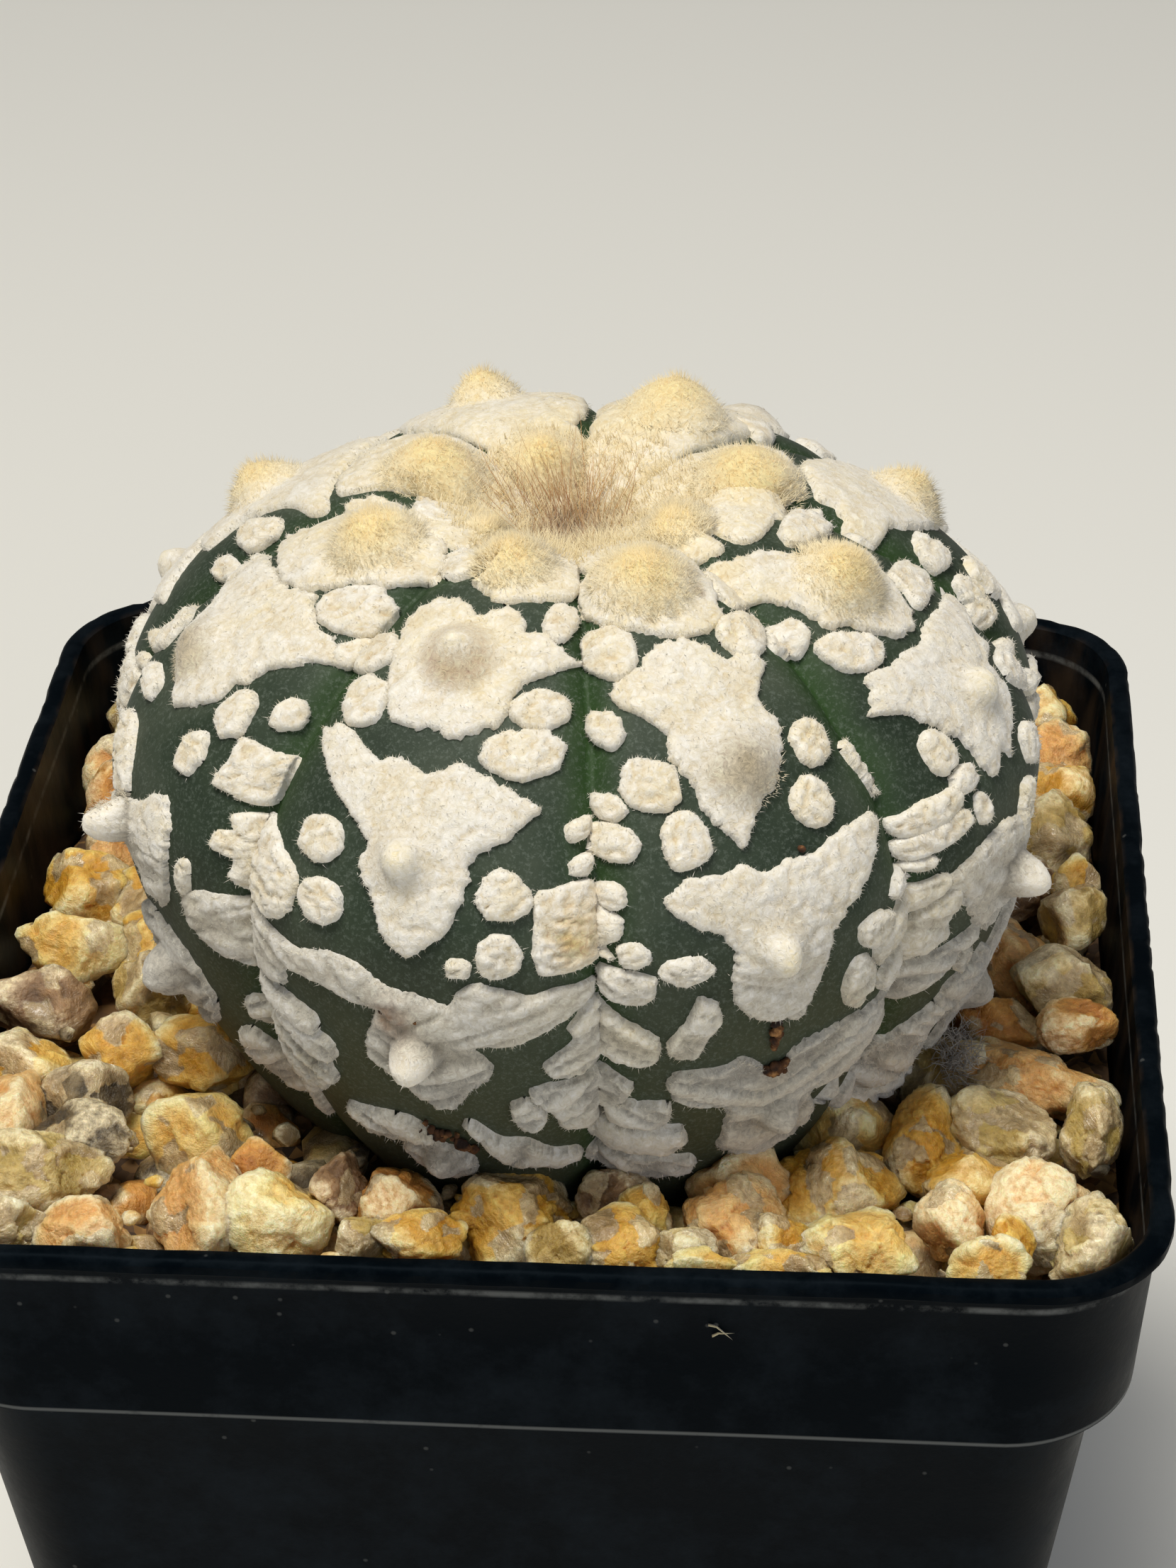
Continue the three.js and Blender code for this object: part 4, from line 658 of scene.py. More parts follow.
# Felt: the white trichome pads on the skin, matted wool half a millimetre thick, in a ragged star round each
# areole and in loose flecks between. The areoles stand up as mounds. It is part of the plant.
STARS = [
    # Areole, its kind of wool, its mound's radius and height, and the star's outline
    # Rib at azimuth 27
    ((25, 27), "tuft", 2.9, 1.8, [
        (7, 29), (8.5, 24), (18, 20.5), (33, 19.3), (45, 22.5), (43.5, 28), (40.5, 32), (37.5, 35.8),
        (31, 36.2), (24, 35.5), (17, 33.5), (10, 32)
    ]),
    ((28, 55), "swell", 2.6, 0.9, [
        (20, 38), (16, 39.8), (12, 42), (12, 44.5), (16, 46.5), (19, 49), (18.7, 52.5), (20.5, 56),
        (21.5, 61), (24, 65), (25.3, 67.3), (27.3, 64.5), (29, 61.5), (32.5, 58.8), (35, 55), (36.5, 51),
        (35.5, 48), (37, 45.5), (40, 43.5), (39, 41.3), (36.5, 40.3), (33.5, 41.5), (31, 38.5),
        (28, 36.8), (24, 36.5)
    ]),
    ((27.3, 86.5), "nub", 1.8, 1.2, [
        (14.8, 74.5), (16, 71.5), (18, 70), (22.5, 70.3), (25, 69.3), (26.5, 70.8), (28, 71.5),
        (30.7, 70), (33.5, 70.8), (38.5, 68.8), (44, 69), (45.3, 71), (43.5, 74), (41, 78), (37.5, 82),
        (35, 85.5), (34.3, 90), (33.2, 94), (31, 99.5), (28, 99.5), (24.8, 98.5), (22, 94.3), (22.2, 86),
        (21, 81), (18.3, 79)
    ]),
    ((30, 113.5), "bump", 1.5, 1, [
        (15, 106), (17, 104.5), (21.5, 104.5), (24, 103.8), (26.5, 105.5), (28.5, 107), (31, 104.5),
        (36, 103), (41.5, 103), (46, 103.3), (49, 101.8), (55, 101), (61, 100.5), (61, 102.5),
        (58, 103.5), (54, 106), (49.5, 107), (46.5, 106.5), (44, 109.5), (41.5, 111.5), (38.5, 112.5),
        (35.5, 112.5), (35, 113.5), (37, 116), (36, 119), (32.5, 121), (29, 122), (25.5, 120.5),
        (23, 118.5), (23.3, 115.5), (22.7, 111.5), (20.5, 110.5), (17, 109.5), (15.5, 108)
    ]),
    # Rib at azimuth -16
    ((-16, 22.5), "tuft", 2.4, 1.5, [
        (-41, 16.5), (-30, 12.5), (-10, 11), (4, 12.5), (6.5, 18), (6.5, 24), (3, 28.3), (-3.5, 28),
        (-14.5, 29.3), (-24, 27), (-23, 23.5), (-31, 19.3)
    ]),
    ((-17.5, 39), "cone", 2.2, 1.4, [
        (-31, 33), (-27, 31), (-22, 31), (-17, 32.5), (-14, 31), (-8, 31), (-6, 34), (-2, 34), (3, 37.5),
        (6.3, 38.5), (1, 39.5), (-4, 41), (-6, 43), (-7, 47), (-10, 48), (-13, 49.7), (-18, 49),
        (-22, 49.5), (-26, 48.5), (-28, 45), (-31, 41), (-33, 36)
    ]),
    ((-16.5, 68), "nub", 1.9, 1.1, [
        (-35.5, 53.5), (-31, 52), (-26, 54), (-23.5, 54.7), (-20.5, 53.5), (-16, 55), (-12.5, 53),
        (-8.5, 54), (-4, 56), (-0.3, 58.7), (-1.5, 60.5), (-5, 64), (-8, 66.5), (-8.5, 71), (-10, 78),
        (-12, 82), (-15, 85.5), (-18, 82), (-20, 75), (-22.5, 70), (-22, 66.5), (-26.5, 62.5),
        (-30.5, 59.5), (-34.5, 56)
    ]),
    ((-14.5, 101.5), "ball", 1.7, 1.4, [
        (-49, 93), (-44, 90.5), (-38.5, 89.5), (-34, 90.5), (-29, 91.5), (-24, 89), (-21.5, 90),
        (-19, 92), (-17, 93.5), (-14, 93.5), (-10.5, 94.5), (-9, 92), (-7, 90.5), (-4, 91.2),
        (-0.8, 92.3), (2, 91.3), (6, 91.5), (6, 93.5), (3.5, 96), (-0.5, 98.3), (-3, 99.7),
        (-7.5, 100.3), (-5.5, 102.8), (-6.5, 104.7), (-8.5, 107), (-10.5, 109.3), (-13, 110.5),
        (-16.5, 108), (-21, 104), (-21, 101.5), (-19.5, 97), (-22.5, 96.5), (-26, 95.5), (-31.5, 95.5),
        (-32.5, 98.5), (-36.5, 99.5), (-40.5, 100.5), (-47.5, 98)
    ]),
    ((-15, 120), "bump", 1.3, 0.6, [
        (-21, 119), (-18, 117), (-13, 117.5), (-10, 120), (-12, 123), (-18, 123.5)
    ]),
    # Rib at azimuth 70
    ((61, 18), "tuft", 2.1, 1.1, [
        (48, 24.5), (46, 20), (49, 14), (62, 12.5), (80, 13), (84, 16), (76, 18.5), (65, 20.4),
        (60.5, 22.5), (58, 25.6), (51, 26)
    ]),
    ((69, 39.5), "tuft", 2.8, 1.8, [
        (45, 28.2), (49, 28), (52, 27), (54, 28.3), (58, 28.8), (63.5, 30.2), (70, 33.8), (77, 36),
        (82.5, 38), (84, 41.3), (81, 42.7), (79, 45), (77, 47), (75, 49), (72, 50.5), (68, 50),
        (66, 48.5), (63.5, 46.5), (61, 44.3), (57.5, 42.5), (56, 38.5), (53.5, 37), (51.5, 36), (47, 36),
        (43.5, 34.5), (41.5, 32.5), (43, 30)
    ]),
    ((71.5, 63), "nub", 2, 0.9, [
        (52.5, 56.3), (54.5, 53.6), (57, 51), (61.5, 51.9), (64.5, 51.6), (68, 52.2), (71, 52.8),
        (74, 51.9), (78.5, 52.3), (84, 53.2), (88.5, 54.9), (91.5, 57.5), (88.5, 58.9), (84, 59.6),
        (83.5, 63), (79.8, 63.7), (79, 69), (76, 72), (73, 73.5), (71, 76), (69.5, 73.5), (67, 75.5),
        (65, 75.5), (64, 72.5), (63.5, 67), (61.5, 64.5), (59.5, 61.5), (57.5, 58.7), (54, 57)
    ]),
    ((67.5, 97), "ball", 1.7, 1.5, [
        (53, 90.5), (57.5, 87.5), (60.5, 86), (63, 85.5), (66, 86), (70, 90), (73, 95), (71, 101),
        (65, 103), (60, 100), (56, 94.5)
    ]),
    # Rib at azimuth -62
    ((-51, 14.5), "tuft", 1.3, 0.6, [
        (-60, 13.5), (-55, 11.5), (-46, 11.5), (-43, 14), (-46, 17), (-52, 18), (-58, 16.8)
    ]),
    ((-61, 29), "tuft", 2.7, 1.8, [
        (-78, 41), (-87, 42.5), (-88.5, 40), (-87, 37), (-83, 34), (-89.5, 32.5), (-91, 30.5), (-90, 28),
        (-87, 26), (-74, 23.8), (-66, 23.2), (-56, 22.6), (-47, 22.6), (-42, 25.3), (-37, 27.8),
        (-37, 29.5), (-41, 30.5), (-45, 32.5), (-51.5, 34), (-57, 37.3), (-63.5, 40.3), (-70.5, 41)
    ]),
    ((-67, 55), "swell", 2.4, 0.9, [
        (-87.5, 46), (-80, 43.5), (-74.5, 42), (-65, 41.5), (-58, 39.3), (-54.5, 40.7), (-51, 42),
        (-46, 42.4), (-42, 44), (-40.5, 45.5), (-46, 46.6), (-48.5, 48.5), (-51.5, 50), (-53, 53),
        (-55, 55), (-56, 58), (-60, 62), (-63, 63.5), (-66, 62), (-69, 60), (-73, 59), (-75.5, 56),
        (-76, 52), (-79, 50.3), (-84, 50), (-88, 48.5)
    ]),
    ((-63.5, 89), "ball", 1.7, 1.5, [
        (-57, 77), (-54.5, 75.5), (-53, 78), (-51.5, 84), (-52, 92), (-53.5, 97), (-58, 98), (-62, 95.5),
        (-67, 93), (-69, 88), (-64, 84), (-60, 81)
    ]),
    ((-56.5, 107), "bump", 1.9, 1.5, [
        (-66, 104), (-58, 101), (-52, 103), (-49, 108), (-52, 113), (-58, 115), (-64, 112)
    ]),
    # Rib at azimuth 113
    ((100, 25), "tuft", 3.3, 1.9, [
        (66, 21.8), (80, 19.8), (90, 16.7), (97, 14.7), (108, 14.2), (119, 16.5), (124, 21), (125, 28),
        (121, 32.3), (110, 32.7), (101, 32.3), (95, 30.8), (80, 28.6), (70, 28.3), (64, 27.3),
        (62.5, 25)
    ]),
    ((117, 53), "tuft", 2.4, 1.7, [
        (114.5, 34), (119.5, 37.5), (123.5, 43), (125, 49.5), (124, 54), (121, 58.5), (116, 60),
        (112.5, 58), (109, 54.5), (103, 49), (100.5, 45.7), (96.5, 45), (93.5, 45.2), (89.7, 42),
        (89.7, 39.8), (94.5, 39.7), (97.3, 38), (98.8, 36.3), (99, 34.5), (107, 33.9)
    ]),
    # Rib at azimuth 155
    ((153, 28), "tuft", 3.2, 2.2, [
        (136, 20), (146, 16), (158, 15), (170, 17), (176, 22), (175, 30), (171, 37), (160, 41),
        (150, 41), (140, 37), (135, 29)
    ]),
    # Rib at azimuth -159
    ((-158, 14.5), "tuft", 2.3, 1.4, [
        (-178, 12), (-168, 9.5), (-150, 9.5), (-139, 12), (-137, 16), (-146, 17.8), (-158, 18.3),
        (-170, 18.5), (-178, 16.5)
    ]),
    ((-156, 37), "tuft", 2.2, 1.9, [
        (-178, 25), (-171, 20.5), (-160, 20), (-149, 19.6), (-140, 20.5), (-138, 26), (-138, 33),
        (-138.5, 40), (-141, 46), (-150, 50), (-160, 51), (-170, 48), (-177, 41), (-179, 32)
    ]),
    # Rib at azimuth -111
    ((-104, 20.5), "tuft", 3.1, 2, [
        (-134, 21), (-128, 15.5), (-113, 13), (-95, 12.5), (-80, 12.8), (-68, 14.3), (-64, 16),
        (-69, 17.6), (-86, 20), (-90, 22), (-92, 24), (-93.5, 26.5), (-94, 31), (-96, 33), (-107, 33.4),
        (-120, 33), (-130, 30)
    ]),
    ((-112, 50), "tuft", 2.5, 1.8, [
        (-92, 34.5), (-103, 34.7), (-116, 35), (-128, 37), (-133, 43), (-131, 51), (-124, 57),
        (-114, 61), (-104, 60), (-98.5, 55.5), (-101.5, 50.5), (-101.5, 47), (-98.5, 42), (-94.5, 39),
        (-90.5, 37.3)
    ]),
]
PLATES = [
    # Irregular flecks, by their outlines
    [
        (-0.5, 72), (1, 70.8), (6, 70.5), (7.5, 75), (10, 77), (9.5, 81), (8, 83.5), (9, 86), (6.5, 87),
        (3, 88), (0, 87.5), (-0.7, 82), (-0.5, 77)
    ],
    [
        (18.5, 93.5), (20.5, 95), (21, 97.5), (19.5, 99.5), (18.5, 102), (16, 102.5), (14.8, 101.5),
        (14.6, 100.3), (16.5, 97.5), (17.8, 94)
    ],
    [
        (6.3, 94.5), (8, 96), (12.5, 98.5), (14, 100), (13.8, 102.5), (12, 103.5), (8.5, 103.3),
        (5.5, 104.8), (1.5, 104.8), (0, 103), (1.5, 101.6), (3.8, 99.7), (3, 98), (4.5, 96)
    ],
    [
        (-1.8, 106.8), (0.5, 105.8), (4, 106), (8, 105.6), (11, 106.8), (10.8, 108.5), (10, 110),
        (8, 112), (5, 114), (2, 113), (0.8, 110.5), (-1.2, 108.3)
    ],
    [
        (-10.5, 112.5), (-9, 112), (-6, 114.5), (-2.5, 114.7), (0.5, 117), (4, 118), (3.8, 120),
        (0, 120), (-4, 119.8), (-7, 118), (-9, 115)
    ],
    [
        (-27.5, 114), (-24, 113.5), (-19, 113), (-15.5, 114.5), (-15, 116.5), (-20, 118), (-24, 118),
        (-27, 116.5)
    ],
    [
        (-47, 60), (-39, 60.5), (-38.7, 64), (-39.8, 69.3), (-45, 69), (-48, 68.5), (-47.5, 64)
    ],
    [
        (-43.5, 72), (-41, 70.6), (-36, 70.8), (-33, 73), (-30.5, 75), (-29.8, 78), (-30.3, 83),
        (-31.5, 85.5), (-33.5, 87.8), (-36, 86.8), (-40, 87), (-42, 84), (-42, 80.5), (-45, 79),
        (-45, 76), (-43, 74.5)
    ],
    [
        (-53.5, 40), (-54.5, 38.3), (-53, 36.5), (-50, 34.6), (-45.5, 33.5), (-41, 35), (-39.5, 37),
        (-39.8, 40), (-43, 40.8), (-47, 41.2), (-51, 41)
    ],
    [
        (36, 36.3), (38.5, 35.3), (42, 35.5), (45.2, 37), (45.6, 39), (44, 40.5), (40, 42), (37, 41.6),
        (35.5, 40), (34.8, 38)
    ],
    [
        (44.6, 41.6), (46.7, 40.2), (49, 39.8), (52, 39.6), (53.7, 41), (52.5, 43.3), (50, 44.8),
        (48.3, 45.1), (46.4, 44)
    ],
    [
        (80.5, 44.5), (86.5, 45.8), (91, 48.3), (93.5, 50.7), (93, 52), (88.5, 52.2), (83, 51.2),
        (78.5, 50.7), (77.3, 49.3), (79, 47.5), (79.7, 45.7)
    ],
    [
        (52, 45), (55, 43.8), (59, 44.8), (62.5, 47), (63, 49), (60.5, 50.7), (57, 50.6), (53.5, 49)
    ],
    [
        (-73, 72), (-69, 72), (-66, 76), (-63.5, 82), (-64, 84), (-67, 85.5), (-70, 82), (-73, 77)
    ],
    [
        (-88, 23), (-87.5, 21.4), (-74, 18.9), (-63, 17.9), (-56, 19.2), (-58, 20.6), (-66.5, 21.7),
        (-76.5, 22.4)
    ],
    [
        (-43, 23.2), (-42, 20.5), (-34, 21), (-27, 24.3), (-29, 27), (-36, 27.6), (-40.5, 26)
    ],
    [
        (-96.5, 48.8), (-98, 47), (-95, 43), (-92.5, 41.5), (-90, 42.5), (-88.8, 44.3), (-89, 47),
        (-92, 48.6)
    ],
    [
        (-87, 70.5), (-88, 66), (-87.5, 61.5), (-84, 57.8), (-79, 56.3), (-77.8, 59), (-77, 61.5),
        (-79, 64.5), (-83, 68)
    ],
    [
        (80, 29.6), (88, 30.9), (94.5, 33), (95.8, 35), (93, 36.7), (87, 36.2), (80.5, 34.6),
        (74.5, 33.4), (71.5, 31.6), (74, 30)
    ],
    [
        (100, 48.9), (102, 50), (102.7, 52.5), (102.5, 55.3), (100, 56), (96.8, 55.3), (95.2, 54.2),
        (95.7, 52.3), (97, 50.5), (98.5, 49.4)
    ],
    [
        (82.8, 64.8), (88, 66.7), (93, 71), (95.5, 76), (95.2, 80), (90, 78.5), (84.5, 73), (81.8, 68.5)
    ],
]
DOTS = [
    # Round flecks: azimuth, polar angle, and half sizes both ways in degrees
    (1.5, 32, 3.5, 2.8), (12, 37, 5.3, 3.8), (-1, 45, 5, 2.6), (-3, 51, 6.3, 3.4), (9.7, 48, 2.7, 2.7),
    (15, 56, 4.3, 4.1), (9.2, 59.4, 2.4, 2.2), (4.8, 62.4, 1.9, 2), (9.3, 64.6, 3.6, 3.1), (5, 68, 1.6, 1.9),
    (18.5, 64.4, 3.4, 4.6), (-4, 72.2, 3.3, 4.6), (8.8, 73.3, 1.9, 2.6), (11, 84.3, 2, 3.3),
    (10.2, 91.4, 3.5, 3.2), (16.8, 88, 3.2, 3.6), (-8.9, 86.5, 1.6, 2.7), (-4.4, 83.3, 2.8, 5),
    (-2, 110.3, 2.3, 2.5), (-31, 48, 4.4, 3.6), (-43, 54.5, 2.5, 2.7), (-51, 58, 3.2, 4),
    (-54, 66.5, 2.6, 4.2),
    (-28.3, 68.4, 3.3, 4.2), (-26.3, 78.7, 3.2, 4.5), (-48.5, 88.5, 1.4, 4.3), (-29, 109.6, 1.9, 1.7),
    (40, 55.5, 3.3, 3.5), (36.3, 63.3, 3.2, 4), (38.8, 97.8, 2.5, 3.6), (58.5, 66, 2.8, 4.1),
    (60, 72.2, 2.8, 2.6), (61.2, 79, 1.6, 3.6), (50.5, 84, 2.2, 1.8), (46.5, 85.7, 2.7, 3),
    (40.8, 90.4, 2.9, 3.4), (97.3, 61, 2.5, 3.6), (77.5, 79, 2.8, 4.6), (59.6, 105, 1.7, 1.6),
    (-89, 52, 2.8, 2.2), (-72.5, 65.6, 3.8, 2.6), (-171, 28.5, 4, 2.4), (173, 28, 3, 3),
]
STREAKS = [
    # Long flecks: from one place to another, with a half width in millimetres
    ((9.8, 111.6), (14.2, 111), 0.75), ((7.5, 116), (16, 115.5), 0.9), ((7, 121.5), (18.3, 121), 0.8),
    ((-40, 43.3), (-34.5, 41), 0.95), ((-37, 101.2), (-29.5, 102.2), 0.7),
    ((-34, 104.2), (-28, 105.6), 0.75),
    ((-41, 107), (-31, 110.8), 0.85), ((-37, 110.5), (-34, 113), 1.0), ((-44, 114), (-38, 120), 1.2),
    ((45.6, 58.8), (48, 68), 0.4), ((50.5, 75.3), (56, 74), 1.05), ((50, 80), (56.5, 78.6), 1.05),
    ((42.8, 94.8), (52, 90.2), 0.95), ((50.5, 96.6), (54, 94.2), 0.9), ((44.5, 100), (52.5, 98), 0.9),
    ((52, 116), (56.5, 113), 1.2), ((45, 119.8), (57, 119.5), 0.8), ((70, 92), (72.5, 85), 0.85),
]
FAR_RIBS = [
    # A far rib repeats a near one's felt: rib, model rib, side, polar shift, least polar angle
    (1, 0, 1, 3, 106), (2, 0, 1, 0, 62), (3, 0, -1, 0, 37), (4, 7, -1, 0, 50), (5, 7, 1, 7, 59),
]
RIBS = [(start, end, (start + end) / 2) for start, end in zip(GROOVES, GROOVES[1:])]
FELT_THICKNESS = {"star": 0.48, "fleck": 0.6}
NEAR_CELL = 0.17
FAR_CELL = 0.33
NEAR_TO = 100
DEGREE_MM = 0.37
WIDTH_POWER = 1.14
WORN_OVER = 26
WOOL_WHITE = "#ece7d9"
WOOL_CREAM = "#e8d8ac"
WOOL_GREY_AND_SHADE = "#928c7e"
WOOL_GOLD = "#e4cd92"
SCAR_STAINS = [(-17, 97, 2.4), (28.5, 103.5, 1.3), (28.5, 106.5, 1.1), (37, 31, 0.9)]


def from_middle(azimuth, middle):
    """How far an azimuth is from a middle one, from -180 to 180."""
    return (azimuth - middle + 180) % 360 - 180


def middle_of(outline):
    """The middle of an outline's points."""
    return sum(p[0] for p in outline) / len(outline), sum(p[1] for p in outline) / len(outline)


def degree_width(polar):
    """How wide one degree of azimuth is at a polar angle, in millimetres."""
    return math.radians(1) * BODY_RADIUS * math.sin(math.radians(polar)) ** WIDTH_POWER


for target, model, side, shift, least in FAR_RIBS:
    stretch = (RIBS[target][1] - RIBS[target][0]) / (RIBS[model][1] - RIBS[model][0])

    def on_far_rib(spot):
        return RIBS[target][2] + from_middle(spot[0], RIBS[model][2]) * side * stretch, spot[1] + shift

    def repeats(spot):
        half = (RIBS[model][1] - RIBS[model][0]) / 2
        return abs(from_middle(spot[0], RIBS[model][2])) < half and spot[1] + shift > least

    for areole, kind, radius, height, outline in [star for star in STARS if repeats(star[0])]:
        STARS.append((on_far_rib(areole), kind, radius, height, [on_far_rib(spot) for spot in outline]))
    for outline in [plate for plate in PLATES if repeats(middle_of(plate))]:
        PLATES.append([on_far_rib(spot) for spot in outline])
    for dot in [dot for dot in DOTS if repeats(dot)]:
        DOTS.append((*on_far_rib(dot), dot[2] * stretch, dot[3]))
    for one, other, half in [streak for streak in STREAKS if repeats(middle_of(streak[:2]))]:
        STREAKS.append((on_far_rib(one), on_far_rib(other), half))


def round_outline(x, y, half_x, half_y):
    """A knobbly ellipse."""
    outline = []
    for step in range(20):
        turn = math.tau * step / 20
        knob = 1 + 0.16 * noise.noise(Vector((x + 1.3 * math.cos(turn), y + 1.3 * math.sin(turn), 0)))
        outline.append((x + half_x * knob * math.cos(turn), y + half_y * knob * math.sin(turn)))
    return outline


def streak_outline(one, other, half):
    """A strip with round ends, as wide as it is given in millimetres, a little uneven."""
    middle_polar = (one[1] + other[1]) / 2
    wide = degree_width(middle_polar)
    run = Vector(((other[0] - one[0]) * wide, (other[1] - one[1]) * DEGREE_MM))
    along = run.normalized()
    outline = []
    for step in range(22):
        turn = math.tau * step / 22
        side = Vector((-along.y, along.x)) * half * math.sin(turn)
        end = run.length / 2 * max(-1, min(1, 1.7 * math.cos(turn))) + half * math.cos(turn)
        sample = Vector((one[0] + 2 * math.cos(turn), one[1] + 2 * math.sin(turn), 5))
        spot = along * end + side * (1 + 0.22 * noise.noise(sample))
        outline.append(((one[0] + other[0]) / 2 + spot.x / wide, middle_polar + spot.y / DEGREE_MM))
    return outline


def smooth_edge(outline, spacing):
    """Places every so many millimetres along a closed curve through an outline's points."""
    edge = []
    count = len(outline)
    for i in range(count):
        a, b, c, d = (outline[(i + k) % count] for k in (-1, 0, 1, 2))
        steps = max(2, round((body_point(*b) - body_point(*c)).length / spacing))
        for step in range(steps):
            t = step / steps
            edge.append(tuple(
                b[k] + 0.42 * t * (c[k] - a[k])
                + t * t * (0.84 * a[k] - 2.58 * b[k] + 2.16 * c[k] - 0.42 * d[k])
                + t**3 * (-0.42 * a[k] + 1.58 * b[k] - 1.58 * c[k] + 0.42 * d[k])
                for k in (0, 1)
            ))
    return edge


def edge_frames(edge):
    """Each edge place's point, outward direction along the skin, and the skin's normal."""
    turning = sum((b[0] - a[0]) * (b[1] + a[1]) for a, b in zip(edge, edge[1:] + edge[:1]))
    side = 1 if turning > 0 else -1
    points = [body_point(*place) for place in edge]
    frames = []
    for i, place in enumerate(edge):
        normal = body_normal(*place, points[i])
        along = points[(i + 1) % len(points)] - points[i - 1]
        frames.append((points[i], along.cross(normal).normalized() * side, normal))
    return frames


def mix(one, other, share):
    """A colour a share of the way from one to the other."""
    return [a + (b - a) * to_share(share) for a, b in zip(one, other)]


MOUNDS = [(body_point(*areole), radius, height, kind) for areole, kind, radius, height, _ in STARS]
mound_tree = kdtree.KDTree(len(MOUNDS))
for index, mound in enumerate(MOUNDS):
    mound_tree.insert(mound[0], index)
mound_tree.balance()


MOUND_SHAPES = {
    # How high a kind's broad swelling and its round cap are, as shares, and the share of the radius it spans
    "tuft": (0.56, 0.22, 0.8),
    "swell": (1, 0, 1),
    "ball": (0.25, 1, 0.66),
    "nub": (0.55, 0.6, 0.5),
    "bump": (0.5, 0.6, 0.7),
}


def mound_height(kind, share, height):
    """An areole's height by its kind, at a share of its radius from its middle."""
    broad = (1 - share**2) ** 2
    if kind == "cone":
        return 1.3 * height * (0.3 * broad + 0.7 * (1 - share) ** 1.5)
    swelling, cap, span = MOUND_SHAPES[kind]
    return height * (swelling * broad + cap * math.sqrt(max(0, 1 - (share / span) ** 2)))


def mound_rise(here, inside):
    """How high an areole lifts the felt at a place, its kind, its closeness and how far above it is."""
    rise, kind, close, below = 0, "bump", 0, 0
    for centre, index, away in mound_tree.find_range(here, 3.5):
        _, radius, height, its_kind = MOUNDS[index]
        share = away / radius
        if share < 1 and mound_height(its_kind, share, height) > rise:
            rise, kind, close = mound_height(its_kind, share, height), its_kind, 1 - share
            below = (centre.z - here.z) / radius
    return rise * min(1, inside / 0.7), kind, close, below


def wool_colour(here, azimuth, polar, kind, close, below, form):
    """Cream near the crown, whiter down the sides, golden on woolly areoles, greyer and darker near the
    gravel as old felt and painted shade, with painted shade on the lower side of cones and swells.
    """
    patch = noise.noise(here * 0.35) + 0.5 * noise.noise(here * 0.9)
    fine = noise.noise(here * 2.6)
    young = to_share((58 - polar) / 34)
    # Low on the body the felt is greyed and darkened: partly old felt, partly painted shade
    old_and_shaded = to_share((polar - 82) / WORN_OVER) * (0.45 if form == "star" else 0.25)
    cream = 0.14 + 0.4 * young * (form == "star") + 0.4 * patch
    colour = mix(linear(WOOL_WHITE), linear(WOOL_CREAM), cream)
    if form == "star":
        colour = mix(colour, linear("#dcd7ca"), 0.4 * (1 - young) + 0.3 * fine)
    colour = mix(colour, linear(WOOL_GREY_AND_SHADE), old_and_shaded + 0.12 * fine)
    if kind == "tuft":
        colour = mix(colour, linear(WOOL_GOLD), 1.5 * close)
    elif kind == "cone":
        # A tan ring round the cone, heavier on its lower side as painted shade
        colour = mix(colour, linear("#b3905e"), (1 + 1.6 * below) * min(close, 0.9 - close))
        colour = mix(colour, linear("#f6ebcd"), 4 * close - 2.8)
    elif kind == "swell":
        # The swell's tan-grey, heavier on its lower side as painted shade
        colour = mix(colour, linear("#a09070"), 1.6 * close * (0.55 + below))
    elif kind == "nub":
        colour = mix(colour, linear("#bdb094"), 1.4 * min(close, 0.55 - close))
        colour = mix(colour, linear("#f2e6c4"), 2 * close - 1)
    elif kind == "ball":
        colour = mix(colour, linear("#6f6759"), 3 * min(close, 0.46 - close))
        colour = mix(colour, linear("#f4ecd9"), 4 * close - 1.2)
    else:
        colour = mix(colour, linear("#8c8371"), 1.4 * min(close, 0.7 - close))
    # Golden stain down the groove, and the brown of the scars
    stain = math.exp(-(((azimuth - 4) / 2.2) ** 2) - ((polar - 80) / 6) ** 2)
    colour = mix(colour, linear("#d9b877"), 0.8 * stain + 0.4 * stain * fine)
    for scar_azimuth, scar_polar, size in SCAR_STAINS:
        away = math.hypot(azimuth - scar_azimuth, polar - scar_polar) / size
        colour = mix(colour, linear("#7d5b3c"), (0.85 + 0.6 * fine) * math.exp(-away * away))
    return colour


